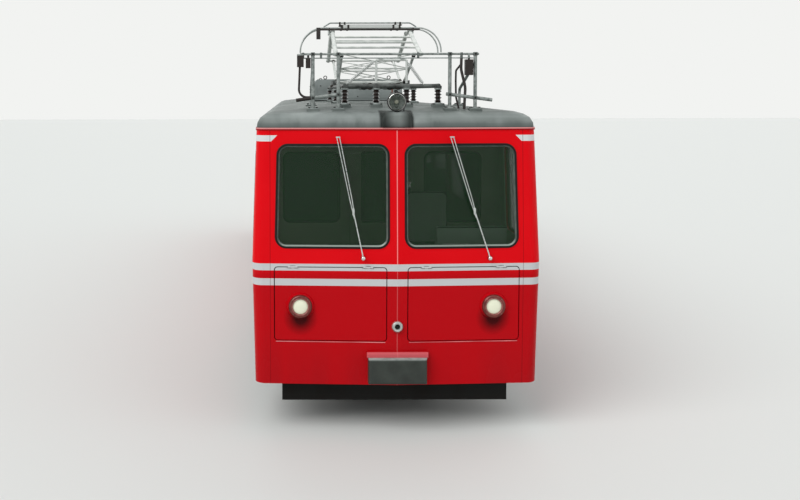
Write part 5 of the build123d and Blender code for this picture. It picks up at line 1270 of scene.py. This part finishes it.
CAB_PANE_Z, PANE_DEPTHS = (1.678, 2.378), (-0.023, -0.017)
CAB_PANE = outline_of(rectangle(0.440, 1.0, *CAB_PANE_Z), 0.06)
DOOR_PANE = outline_of(rectangle(-0.200, 0.200, *CAB_PANE_Z), 0.012)
cab_openings = [CAB_PANE, mirror_outline(CAB_PANE)]
panes = Piece("cab_partition_panes", PANE_GLASS, "glass")
for outline in cab_openings:
    panes.plate(outline, partition_front, *PANE_DEPTHS)
panes.done()
door_pane = Piece("cab_door_pane", PANE_GLASS, "glass", "cab_door")
door_pane.plate(DOOR_PANE, partition_front, *PANE_DEPTHS).done()
for face, surface in (("front", partition_front), ("rear", partition_rear)):
    openings = [(outline, surface) for outline in cab_openings]
    mouldings(f"partition_{face}_seals", SEAL_RUBBER, openings, SLIM_PROFILE)
    # The door's faces lie 2 mm inside the partition's.
    sunk = [(across, out - 0.002) for across, out in SLIM_PROFILE]
    mouldings(f"cab_door_{face}_seals", SEAL_RUBBER, [(DOOR_PANE, surface)], sunk, "cab_door")
latch = Piece("cab_door_handles", CHROME, "wiper_steel", "cab_door")
for y, way in ((-4.748, -1), (-4.712, 1)):
    latch.block((0.262, min(y, y + way * 0.007), 1.92), (0.298, max(y, y + way * 0.007), 2.08), 0.003)
    line = [(0.280, y, 2.02), (0.280, y + way * 0.045, 2.02), (0.165, y + way * 0.050, 2.02)]
    latch.tube(rounded(line, 0.014), 0.008)
latch.done()


def on_hood(x, up):
    """A point on the instrument hood's face, so far up from its foot."""
    return Vector((x, -5.81, 1.488)) + Vector((0, -0.05, 0.13)).normalized() * up


def on_desk(x, up):
    """A point on the desk's sloped top, so far up from its low edge."""
    return Vector((x, -5.51, 1.408)) + Vector((0, -0.30, 0.08)).normalized() * up


HOOD_FACING = Vector((0, 0.13, 0.05)).normalized()
DESK_FACING = Vector((0, 0.08, 0.30)).normalized()
# Dials: across, radius, turn of the needle.
DIALS = ((0.19, 0.034, 0.6), (0.29, 0.034, -0.9), (0.42, 0.047, 2.2), (0.55, 0.034, 0.2), (0.65, 0.034, -0.4))
DIAL_RIM = ((0.94, -0.002), (0.94, 0.008), (1.0, 0.011), (1.12, 0.009), (1.16, -0.002))
NEEDLE_BOSS = ((0, 0.003), (0.005, 0.003), (0.004, 0.0065), (0, 0.007))
dial_rims = Piece("desk_dial_rims", LAMP_BLACK, "lamp_black", crisp=45)
dial_faces = Piece("desk_dial_faces", DIAL_FACE, "partition_panel")
needles = Piece("desk_dial_needles", LAMP_BLACK, "lamp_black")
for x, radius, turn in DIALS:
    place = aim(on_hood(x, 0.070), HOOD_FACING)
    edge = 0.95 * radius
    dial_rims.turned_ring(DIAL_RIM, place, 32, radius)
    dial_faces.turned(((0, 0.003), (edge, 0.003), (edge, -0.001), (0, -0.001)), place)
    # Scale marks stand round the face like the spokes of a wheel.
    for i in range(9):
        mark = place @ Matrix.Rotation(-2.2 + i * 0.55, 4, "Z")
        needles.block((0.72 * radius, -0.0008, 0.003), (0.9 * radius, 0.0008, 0.0036), 0, mark)
    pointing = place @ Matrix.Rotation(turn, 4, "Z")
    needles.block((-0.2 * radius, -0.0013, 0.004), (0.78 * radius, 0.0013, 0.0052), 0, pointing)
    needles.turned(NEEDLE_BOSS, place, 12)
for made in (dial_rims, dial_faces, needles):
    made.done()

LEVER_BOSS = ((0, -0.004), (0.062, -0.004), (0.062, 0.010), (0.052, 0.022), (0.022, 0.030), (0, 0.031))
SWITCH = ((0, -0.002), (0.017, -0.002), (0.017, 0.004), (0.012, 0.005), (0.012, 0.010), (0, 0.011))
LEVER = ((0, 0, 0.02), (0, 0, 0.062), (0.105, 0, 0.078))
levers = Piece("desk_levers", POLE_STEEL, "wiper_steel", crisp=45)
bosses = Piece("desk_lever_bosses", LAMP_BLACK, "lamp_black", crisp=45)
for x, swing in ((0.10, 0.5), (0.74, -0.4)):
    place = aim(on_desk(x, 0.15), DESK_FACING) @ Matrix.Rotation(swing, 4, "Z")
    bosses.turned(LEVER_BOSS, place, 28)
    levers.tube(rounded([place @ Vector(p) for p in LEVER], 0.02), 0.0075)
    bosses.turned(ball(0.019), place @ Matrix.Translation(LEVER[-1]), 16)
for i in range(8):
    bosses.turned(SWITCH, aim(on_desk(0.24 + i * 0.05, 0.06), DESK_FACING), 16)
levers.done()
bosses.done()
# The raised instrument panel before the seat, with a blank screen and four knobs.
KNOB = ((0, -0.002), (0.016, -0.002), (0.016, 0.005), (0.011, 0.010), (0, 0.011))
PANEL_FACE = -5.864
panel = Piece("desk_instrument_panel", HAMMER_PAINT, "desk_plastic")
panel.block((0.375, -5.984, 1.615), (0.999, PANEL_FACE, 1.790), 0.010).done()
screen_black = Piece("desk_screen", LAMP_BLACK, "lamp_black")
screen_black.block((0.470, PANEL_FACE - 0.002, 1.640), (0.700, PANEL_FACE + 0.006, 1.768), 0.003)
for i in range(4):
    screen_black.turned(KNOB, aim(Vector((0.770 + 0.050 * i, PANEL_FACE, 1.705)), (0, 1, 0)), 16)
screen_black.done()
# Rubber edging: from and to across, along, height, radius.
edging = Piece("desk_edging", SEAL_RUBBER, "desk_plastic")
for x0, x1, y, z, radius in (
    (-0.998, 0.998, -5.511, 1.383, 0.013), (-0.998, 0.370, -5.863, 1.616, 0.010),
    (0.377, 0.997, -5.980, 1.790, 0.006),
):
    edging.tube([(x0, y, z), (x1, y, z)], radius, 10)
edging.done()
holder = Piece("desk_card_holder", DIAL_FACE, "partition_panel")
holder.block((0.425, -5.992, 1.630), (0.655, -5.983, 1.648), 0.001).done()

# ---------------------------------------------------------------- side and rear trim

WINDOW_BAR_Z = 2.235
BUTTON_RING = ((0.024, -0.002), (0.024, 0.006), (0.028, 0.009), (0.035, 0.006), (0.036, -0.002))
BUTTON = ((0, -0.001), (0.0235, -0.001), (0.0235, 0.004), (0.016, 0.008), (0, 0.009))
for label, side in SIDES:
    # The four saloon windows have a bar; the end windows have none.
    bars = Piece(f"window_bars_{label}", FILLER_STRIP, "wiper_steel")
    low = on_side(side, 0, WINDOW_BAR_Z - 0.014, -0.020)
    high = on_side(side, 0, WINDOW_BAR_Z + 0.014, -0.006)
    inner, outer = sorted((low.x, high.x))
    for y0, y1 in SIDE_WINDOWS[1:5]:
        bars.block((inner, y0 + 0.010, low.z), (outer, y1 - 0.010, high.z), 0.003)
    bars.done()
    # A ring with a button beside each door.
    ring = Piece(f"door_button_rings_{label}", CHROME, "wiper_steel", crisp=45)
    button = Piece(f"door_buttons_{label}", TAIL_LENS, "headlight")
    for y in (-3.58, 3.58):
        place = aim(on_side(side, y, 1.33), (side, 0, 0))
        ring.turned_ring(BUTTON_RING, place, 28)
        button.turned(BUTTON, place, 24)
    ring.done()
    button.done()

# Rear lamps: height and radius of the red one and of the clear one; a rim's section is given
# for a lamp of radius 1.
REAR_LAMP_X, RED_LAMP, CLEAR_LAMP = 0.86, (1.130, 0.062), (0.960, 0.040)
LAMP_RIM = ((0.98, -0.002), (0.98, 0.016), (1.06, 0.022), (1.18, 0.016), (1.24, -0.002))
REAR_LENS = ((0, -0.001), (1.0, -0.001), (1.0, 0.012), (0.8, 0.020), (0.45, 0.026), (0, 0.028))
tail_rims = Piece("tail_lamp_rims", CHROME, "headlight", crisp=45)
tail_red = Piece("tail_lamp_lenses", TAIL_LENS, "headlight", crisp=60)
tail_clear = Piece("rear_marker_lenses", LAMP_GLASS, "headlight", crisp=60)
for side in (-1, 1):
    for (z, radius), lens in ((RED_LAMP, tail_red), (CLEAR_LAMP, tail_clear)):
        place = aim(on_rear(side * REAR_LAMP_X, z), (0, 1, 0))
        tail_rims.turned_ring(LAMP_RIM, place, 36, radius)
        lens.turned([(radius * r, h) for r, h in REAR_LENS], place, 32)
for made in (tail_rims, tail_red, tail_clear):
    made.done()
SOCKET_X = 0.42
SOCKET_CAP = ((0, 0), (0.043, 0), (0.043, 0.024), (0.038, 0.028), (0.026, 0.028), (0.024, 0.034), (0, 0.036))
sockets = Piece("rear_jumper_sockets", LAMP_BLACK, "lamp_black")
for side in (-1, 1):
    x = side * SOCKET_X
    sockets.block((x - 0.060, 6.148, 0.700), (x + 0.060, 6.196, 0.820), 0.008)
    sockets.turned(SOCKET_CAP, aim(Vector((x, 6.19, 0.760)), (0, 1, 0)), 28)
sockets.done()
# Grab rails stand off the rear wall on turned-in ends.
FOOT_Y, HAND_Y = 6.149, 6.195
grab = Piece("rear_grab_rails", POLE_STEEL, "seat_steel")
for side in (-1, 1):
    line = ((FOOT_Y, 1.56), (HAND_Y, 1.56), (HAND_Y, 2.42), (FOOT_Y, 2.42))
    grab.tube(rounded([(side * 1.10, y, z) for y, z in line], 0.02), 0.0105)
line = ((-0.98, FOOT_Y), (-0.98, HAND_Y), (0.98, HAND_Y), (0.98, FOOT_Y))
grab.tube(rounded([(x, y, 1.50) for x, y in line], 0.02), 0.0105)
grab.done()
points = [
    (on_rear(side * x, z, 0.046), (0, 1, 0)) for side in (-1, 1) for x in (0.372, 0.468) for z in (0.712, 0.808)
]
bolts("rear_socket_bolts", points, 0.007, 0.005)

# ---------------------------------------------------------------- gantry

GANTRY_Y, BAR_Z = -5.87, 3.338
POSTS = (-0.728, -0.5, 0.5, 0.728)


def low_bar_z(x):
    """The height of the gantry's lower bar at a place across."""
    return 2.9805 - 0.055 * (abs(x) - 0.468) / 0.412


clamps = Piece("gantry_clamps", CLAMP_ZINC, "galvanised")
heads = []
for x in POSTS:
    for z in (BAR_Z, low_bar_z(x)):
        low, high = (Vector((x, GANTRY_Y, z)) + way * Vector((0.0185, 0.0185, 0.016)) for way in (-1, 1))
        clamps.block(low, high, 0.005)
        heads.append(((x, GANTRY_Y - 0.019, z), (0, -1, 0)))
for x in (-0.815, -0.655, 0.215, 0.604):
    low, high = (x - 0.010, GANTRY_Y - 0.014, BAR_Z - 0.040), (x + 0.010, GANTRY_Y + 0.014, BAR_Z + 0.014)
    clamps.block(low, high, 0.004)
clamps.done()
bolts("gantry_clamp_bolts", heads, 0.007, 0.006)
second = Piece("gantry_second_rod", GALVANISED, "galvanised")
second.tube([(-0.812, GANTRY_Y - 0.004, 3.302), (0.728, GANTRY_Y - 0.004, 3.302)], 0.0055, 10).done()
# Stiff conduits from the bar to the roof: line as across, along from the gantry, height; then
# the bend's radius and the conduit's.
CONDUITS = (
    (((0.604, 0, 3.318), (0.600, 0, 3.20), (0.640, 0, 3.04), (0.632, 0.01, 2.842)), 0.2, 0.0125),
    (((0.560, 0.04, 3.10), (0.565, 0.05, 2.95), (0.590, 0.05, 2.848)), 0.1, 0.009),
    (((0.604, 0.005, 3.25), (0.560, 0.03, 3.19), (0.560, 0.04, 3.09)), 0.03, 0.009),
)
conduit = Piece("gantry_conduit", BITUMEN, "lamp_black")
for line, bend, radius in CONDUITS:
    conduit.tube(rounded([(x, GANTRY_Y + along, z) for x, along, z in line], bend), radius)
conduit.done()
feet = Piece("gantry_feet", GALVANISED, "galvanised")
foot_bolts = []
# Feet: across, along, top of the pad.
FEET = ((0.728, -5.87, 2.850), (0.500, -5.87, 2.8514), (0.728, -5.07, 2.8737))


def square(x, y, z, half):
    """Bolts that face up at the corners of a square."""
    return [((x + dx, y + dy, z), (0, 0, 1)) for dx in (-half, half) for dy in (-half, half)]


for across, y, z in FEET:
    for x in (-across, across):
        feet.block((x - 0.047, y - 0.047, z - 0.002), (x + 0.047, y + 0.047, z + 0.006), 0.002)
        foot_bolts += square(x, y, z + 0.006, 0.034)
feet.done()

# ---------------------------------------------------------------- insulators and base frame

INSULATORS = [(x, y) for y in (-5.64, -3.87, -2.10) for x in (-0.43, 0.43)] + [(-0.14, -5.64), (0.14, -5.64)]
PAD_TOP, SEAT_Z, BASE_Z = 2.885, 3.035, 3.055
INSULATOR_FOOT = ((0, -0.001), (0.043, -0.001), (0.043, 0.009), (0.038, 0.0145), (0, 0.0145))
INSULATOR_HEAD = ((0, 0), (0.031, 0), (0.034, 0.003), (0.034, 0.014), (0.028, 0.0165), (0, 0.0165))
caps = Piece("insulator_caps", GALVANISED, "galvanised", crisp=40)
for x, y in INSULATORS:
    caps.turned(INSULATOR_FOOT, at_point(x, y, PAD_TOP), 28)
    caps.turned(INSULATOR_HEAD, at_point(x, y, SEAT_Z - 0.0155), 28)
    foot_bolts += square(x, y, PAD_TOP, 0.044)
caps.done()
bolts("roof_foot_bolts", foot_bolts, 0.0085, 0.008)
# Springs: name, start, end, radius, wire, turns, steel.
KNEE_Y, SPRING_X, SPRING_Y = -5.652, 0.14, (-4.93, -4.15)
springs = [
    ("knee_stay_spring_left", (-0.165, KNEE_Y, 3.283), (-0.395, KNEE_Y, 3.085), 0.014, 0.0032, 22, BRIGHT_ROD),
    ("knee_stay_spring_right", (0.155, KNEE_Y, 3.262), (0.285, KNEE_Y, 3.080), 0.014, 0.0032, 18, BRIGHT_ROD),
]
for label, x in (("left", -SPRING_X), ("right", SPRING_X)):
    start, end = ((x, y, BASE_Z) for y in SPRING_Y)
    springs.append((f"raising_spring_{label}", start, end, 0.0245, 0.0045, 52, SPRING_STEEL))
for name, start, end, radius, wire, turns, steel in springs:
    coil(name, start, end, radius, wire, turns, steel)
hooks = Piece("knee_stay_hooks", BRIGHT_ROD, "galvanised")
for start, end in (((-0.14, 3.293), (-0.43, 3.060)), ((0.14, 3.285), (0.300, 3.058))):
    hooks.tube([(start[0], KNEE_Y, start[1]), (end[0], KNEE_Y, end[1])], 0.0038, 8)
for x in (-0.10, 0.10):
    hooks.block((x - 0.022, -5.658, 3.300), (x + 0.022, -5.622, 3.316), 0.004)
hooks.done()
COLLAR = ((0, 0), (0.034, 0), (0.036, 0.003), (0.036, 0.017), (0.034, 0.020), (0, 0.020))
SHAFT_X, SHAFT_ENDS = 0.430, (-3.36, -3.04)
collars = Piece("spring_collars", CASTING, "galvanised", crisp=40)
for x in (-SPRING_X, SPRING_X):
    for y in (-4.945, -4.142):
        collars.turned(COLLAR, aim(Vector((x, y - 0.010, BASE_Z)), (0, 1, 0)), 24)
for y in SHAFT_ENDS:
    for x in (-SHAFT_X, SHAFT_X):
        low, high = (x - 0.030, y - 0.040, BASE_Z - 0.004), (x + 0.030, y + 0.040, BASE_Z + 0.026)
        collars.block(low, high, 0.004)
collars.done()

# The live lead: a painted tube from the base frame down to a bushing on the roof.
LEAD_X, LEAD_Y = 0.43, -1.62
busbar = Piece("roof_busbar", COPPER_TUBE, "arm_paint")
line = [(LEAD_X, -2.09, BASE_Z + 0.012), (LEAD_X, LEAD_Y, BASE_Z + 0.012), (LEAD_X, LEAD_Y, 2.99)]
busbar.tube(rounded(line, 0.07), 0.009).done()
# Five sheds, each a little narrower than the one below, and a cap.
sheds = []
for i in range(5):
    edge, z = 0.046 - 0.003 * i, 0.022 * i
    sheds += [(edge, z), (edge, z + 0.007), (0.026, z + 0.016)]
bushing = Piece("roof_bushing", PORCELAIN, "insulator", crisp=45)
profile = [(0, 0), *sheds, (0.022, 0.112), (0.022, 0.124), (0, 0.126)]
bushing.turned(profile, at_point(LEAD_X, LEAD_Y, 2.868), 28).done()

# ---------------------------------------------------------------- pantograph

ARM_LENGTH, ARM_ANGLE, SHAFT_Z = 0.960, math.radians(18), 3.105
HEAD_Y, HEAD_Z = -3.20, SHAFT_Z + 2 * ARM_LENGTH * math.sin(ARM_ANGLE)
# Cross braces of a lower arm, between marks on its two tubes: side and mark, side and mark,
# radius, faces round.
BRACES = (
    (-1, "shaft", 1, "middle", 0.006, 8), (1, "shaft", -1, "middle", 0.006, 8),
    (-1, "middle", 1, "middle", 0.009, 10), (-1, "middle", 1, "knee", 0.0055, 8),
    (1, "middle", -1, "knee", 0.0055, 8),
)


def sleeve(radius, narrow, ease, length):
    """The profile of a sleeve with eased ends, for turning."""
    return ((0, 0), (narrow, 0), (radius, ease), (radius, length - ease), (narrow, length), (0, length))


for end, way in (("front", -1), ("rear", 1)):
    shaft = Vector((0, HEAD_Y + way * 0.16, SHAFT_Z))
    knee = shaft + ARM_LENGTH * Vector((0, way * math.cos(ARM_ANGLE), math.sin(ARM_ANGLE)))
    head = Vector((0, shaft.y, HEAD_Z))
    across = Vector((0.385, 0, 0))
    marks = {"shaft": shaft, "middle": shaft.lerp(knee, 0.52), "knee": knee}
    braces = Piece(f"lower_arm_braces_{end}", ARM_PAINT, "arm_paint", f"lower_arm_{end}")
    for first, start, second, stop, radius, faces in BRACES:
        braces.tube([marks[start] + across * first, marks[stop] + across * second], radius, faces)
    braces.done()
    sleeves = Piece(f"arm_sleeves_{end}", CASTING, "galvanised", f"lower_arm_{end}", crisp=40)
    for side in (-1, 1):
        for low, high in ((0.020, 0.105), (0.93, 0.985)):
            start, stop = (shaft.lerp(knee, share) + across * side for share in (low, high))
            sleeves.turned(sleeve(0.021, 0.019, 0.003, (stop - start).length), aim(start, stop - start), 20)
    sleeves.done()
    # The upper arms' outer tubes are sleeved from the knee to short of the head, clear of its bar.
    tubes = Piece(f"upper_arm_tubes_{end}", ARM_PAINT, "arm_paint", f"upper_arm_{end}", crisp=40)
    for x in (-0.450, 0.450):
        start, stop = (knee.lerp(head, share) + Vector((x, 0, 0)) for share in (0.045, 0.915))
        tubes.turned(sleeve(0.0245, 0.016, 0.010, (stop - start).length), aim(start, stop - start), 20)
    tubes.done()

STRIP_Z, GUIDE_Z, CROSS_Y = HEAD_Z + 0.046, HEAD_Z + 0.046 + 0.066, -3.405
jaws = Piece("collector_clamps", CASTING, "galvanised", "collector_head")
bar = Piece("collector_cross_bar", BITUMEN, "lamp_black", "collector_head")
carbons = Piece("collector_carbons", CARBON, "head_aluminium", "collector_head")
for y in (HEAD_Y - 0.12, HEAD_Y + 0.12):
    for x in (-0.335, -0.262, 0.262, 0.335):
        jaws.block((x - 0.011, y - 0.022, STRIP_Z - 0.018), (x + 0.011, y + 0.022, STRIP_Z + 0.0375), 0.003)
    carbons.block((-0.322, y - 0.0125, STRIP_Z + 0.033), (0.322, y + 0.0125, STRIP_Z + 0.0375), 0.0012)
# The cross bar with its two brackets, and the weight that hangs at its left end.
bar.tube([(-0.612, CROSS_Y, STRIP_Z - 0.024), (0.560, CROSS_Y, STRIP_Z - 0.024)], 0.0115)
for x in (-0.484, 0.484):
    bar.block((x - 0.008, -3.416, STRIP_Z - 0.041), (x + 0.008, -3.372, STRIP_Z - 0.006), 0.003)
bar.block((-0.636, -3.426, STRIP_Z - 0.136), (-0.588, -3.384, STRIP_Z - 0.002), 0.005)
# A guide rod runs above the strips and turns down into the horns.
guide = Piece("collector_guide_rod", GALVANISED, "head_aluminium", "collector_head")
line = ((-0.545, STRIP_Z + 0.020), (-0.470, GUIDE_Z), (0.470, GUIDE_Z), (0.545, STRIP_Z + 0.020))
guide.tube(rounded([(x, HEAD_Y, z) for x, z in line], 0.05), 0.0085)
for x in (-0.355, -0.298, 0.298, 0.355):
    jaws.block((x - 0.010, -3.33, STRIP_Z + 0.030), (x + 0.010, -3.07, STRIP_Z + 0.040), 0.002)
    jaws.block((x - 0.010, -3.212, STRIP_Z + 0.030), (x + 0.010, -3.188, GUIDE_Z + 0.011), 0.003)
for made in (jaws, bar, carbons, guide):
    made.done()

# ---------------------------------------------------------------- resistor case

CASE_Y, CASE_X, CASE_LOW, CASE_TOP = (-1.1, 1.5), 0.62, 2.885, 3.178
# A cover strip stands 5 mm proud of the case and starts 1 mm inside it.
INTO, PROUD = 0.001, 0.005
strips = Piece("case_cover_strips", CASE_PAINT, "case_paint")
heads = []
for side in (-1, 1):
    x0, x1 = sorted((side * (CASE_X - INTO), side * (CASE_X + PROUD)))
    for i in range(6):
        y = CASE_Y[0] + i * (CASE_Y[1] - CASE_Y[0]) / 5
        y = min(max(y, CASE_Y[0] + 0.022), CASE_Y[1] - 0.022)
        strips.block((x0, y - 0.021, CASE_LOW + 0.006), (x1, y + 0.021, CASE_TOP - 0.066), 0.0015)
        heights = (2.905, 2.945, 2.995, 3.045, 3.090)
        heads += [((side * (CASE_X + PROUD), y, z), (side, 0, 0)) for z in heights]
for i in range(13):
    heads += [((x, CASE_Y[0] + 0.1 + i * 0.2, CASE_TOP), (0, 0, 1)) for x in (-0.535, 0.535)]
for end, way in ((CASE_Y[0], -1), (CASE_Y[1], 1)):
    y0, y1 = sorted((end - way * INTO, end + way * PROUD))
    strips.block((-0.56, y0, CASE_LOW + 0.025), (0.56, y1, CASE_TOP - 0.070), 0.004)
    across = (-0.52, -0.26, 0.0, 0.26, 0.52)
    heads += [((x, end + way * PROUD, z), (0, way, 0)) for x in across for z in (2.935, 3.085)]
strips.done()
bolts("case_bolts", heads, 0.0065, 0.005)
EYE_RADIUS, EYE_LIFT = 0.022, 0.026
eyes = Piece("case_lifting_eyes", CASTING, "galvanised")
for x in (-0.45, 0.45):
    for y in (-0.95, 1.35):
        turns = [math.tau * i / 16 for i in range(16)]
        middle = Vector((x, y, CASE_TOP + EYE_LIFT))
        ring = [middle + EYE_RADIUS * Vector((math.cos(t), 0, math.sin(t))) for t in turns]
        eyes.tube(ring, 0.006, 8, closed=True)
        eyes.turned(((0, 0), (0.020, 0), (0.018, 0.005), (0, 0.006)), at_point(x, y, CASE_TOP - 0.001), 16)
eyes.done()

# ---------------------------------------------------------------- running gear

CAP_X, AXLE_Z = 0.781, 0.378
AXLEBOX_PLUG = ((0, -0.002), (0.030, -0.002), (0.028, 0.006), (0.012, 0.009), (0, 0.009))
for body, middle in (("bogie_front", -3.85), ("bogie_rear", 3.85)):
    heads = []
    plugs = Piece(f"axlebox_plugs_{body}", CASTING, "bogie_paint", body)
    for end in (-1, 1):
        for side in (-1, 1):
            place = at_point(side * CAP_X, middle + end * 1.1, AXLE_Z)
            turns = [math.tau * i / 6 for i in range(6)]
            spots = [place @ Vector((0, 0.062 * math.cos(t), 0.062 * math.sin(t))) for t in turns]
            heads += [(spot, (side, 0, 0)) for spot in spots]
            plugs.turned(AXLEBOX_PLUG, aim(place.translation, (side, 0, 0)), 20)
    plugs.done()
    bolts(f"axlebox_bolts_{body}", heads, 0.0105, 0.009, body)

pipes = Piece("air_pipes", GALVANISED, "underframe_paint")
for x in (-0.20, -0.155, 0.20):
    line = [(x, y, z) for y, z in ((-2.35, 0.83), (-2.25, 0.80), (2.25, 0.80), (2.35, 0.83))]
    pipes.tube(rounded(line, 0.06), 0.011)
for y in (-1.9, -1.1, 1.1, 1.9):
    for x in (-0.178, 0.20):
        pipes.block((x - 0.042, y - 0.012, 0.786), (x + 0.042, y + 0.012, 0.859), 0.003)
pipes.done()
# Bolts under the equipment cases.
along = (-1.70, -1.20, -0.70, 0.62, 1.12, 1.62)
heads = [
    ((side * x, y, 0.420), (0, 0, -1)) for side in (-1, 1) for y in along for x in (0.36, 0.69, 1.00)
]
bolts("case_cover_bolts", heads, 0.011, 0.009)

# ---------------------------------------------------------------- stage, light, camera

# Pale matt paint on a studio floor: even, with hardly any shine.
floor_paint = finish("studio_floor_paint", "#D9DBD8", 0.7, Specular_IOR_Level=0.2)[0]
floor_mesh = bmesh.new()
bmesh.ops.create_grid(floor_mesh, x_segments=1, y_segments=1, size=90)
floor_data = bpy.data.meshes.new("studio_floor")
floor_mesh.to_mesh(floor_data)
floor_mesh.free()
floor_data.materials.append(floor_paint)
put("studio_floor", floor_data)

world = bpy.data.worlds.new("studio")
bpy.context.scene.world = world
world.use_nodes = True
sky = world.node_tree
sky.nodes.clear()
# The camera, gloss and glass see a white wall; all else is lit by softer air.
rays = add(sky, "ShaderNodeLightPath").outputs
seen = {0: rays["Is Camera Ray"], 1: rays["Is Glossy Ray"]}
seen = add(sky, "ShaderNodeMath", seen, operation="MAXIMUM").outputs[0]
seen = {0: seen, 1: rays["Is Transmission Ray"]}
seen = add(sky, "ShaderNodeMath", seen, operation="MAXIMUM").outputs[0]
light_air = add(sky, "ShaderNodeBackground", {"Color": linear("#F4F6F8"), "Strength": 0.62})
white_wall = add(sky, "ShaderNodeBackground", {"Color": linear("#F2F3F1"), "Strength": 1.0})
mixed = add(sky, "ShaderNodeMixShader", {0: seen, 1: light_air.outputs[0], 2: white_wall.outputs[0]})
add(sky, "ShaderNodeOutputWorld", {"Surface": mixed.outputs[0]})

# Soft lamps: name, direction that the light travels, strength, spread in degrees.
LAMPS = (
    ("key", (0.75, 0.70, -0.95), 1.75, 45),
    ("fill", (-0.8, 0.30, -0.5), 0.38, 70),
    ("rear_fill", (-0.2, -0.8, -0.5), 0.55, 70),
)
for name, travel, strength, spread in LAMPS:
    lamp = bpy.data.lights.new(name, "SUN")
    lamp.energy, lamp.angle = strength, math.radians(spread)
    put(name, lamp).rotation_euler = Vector(travel).to_track_quat("-Z", "Y").to_euler()

# The camera, fitted to the photograph's frame: focal length and principal point in pixels, then
# how far it looks down and rolls, in radians, and where it stands.
FRAME, FOCAL, CENTRE = (800, 500), 938.3, (293.5, 135.4)
LOOK_DOWN, ROLL, STANDS = 0.0462, -0.0023, (-0.903, -14.3, 3.0)
camera = bpy.data.cameras.new("camera")
camera.sensor_width = 36
camera.lens = FOCAL / FRAME[0] * camera.sensor_width
camera.shift_x = (FRAME[0] / 2 - CENTRE[0]) / FRAME[0]
camera.shift_y = (CENTRE[1] - FRAME[1] / 2) / FRAME[0]
camera.clip_end = 300
viewpoint = put("camera", camera)
turn = Matrix.Rotation(math.pi / 2 - LOOK_DOWN, 4, "X") @ Matrix.Rotation(ROLL, 4, "Z")
viewpoint.matrix_world = Matrix.Translation(STANDS) @ turn
bpy.context.scene.camera = viewpoint
bpy.context.scene.view_settings.view_transform = "Standard"
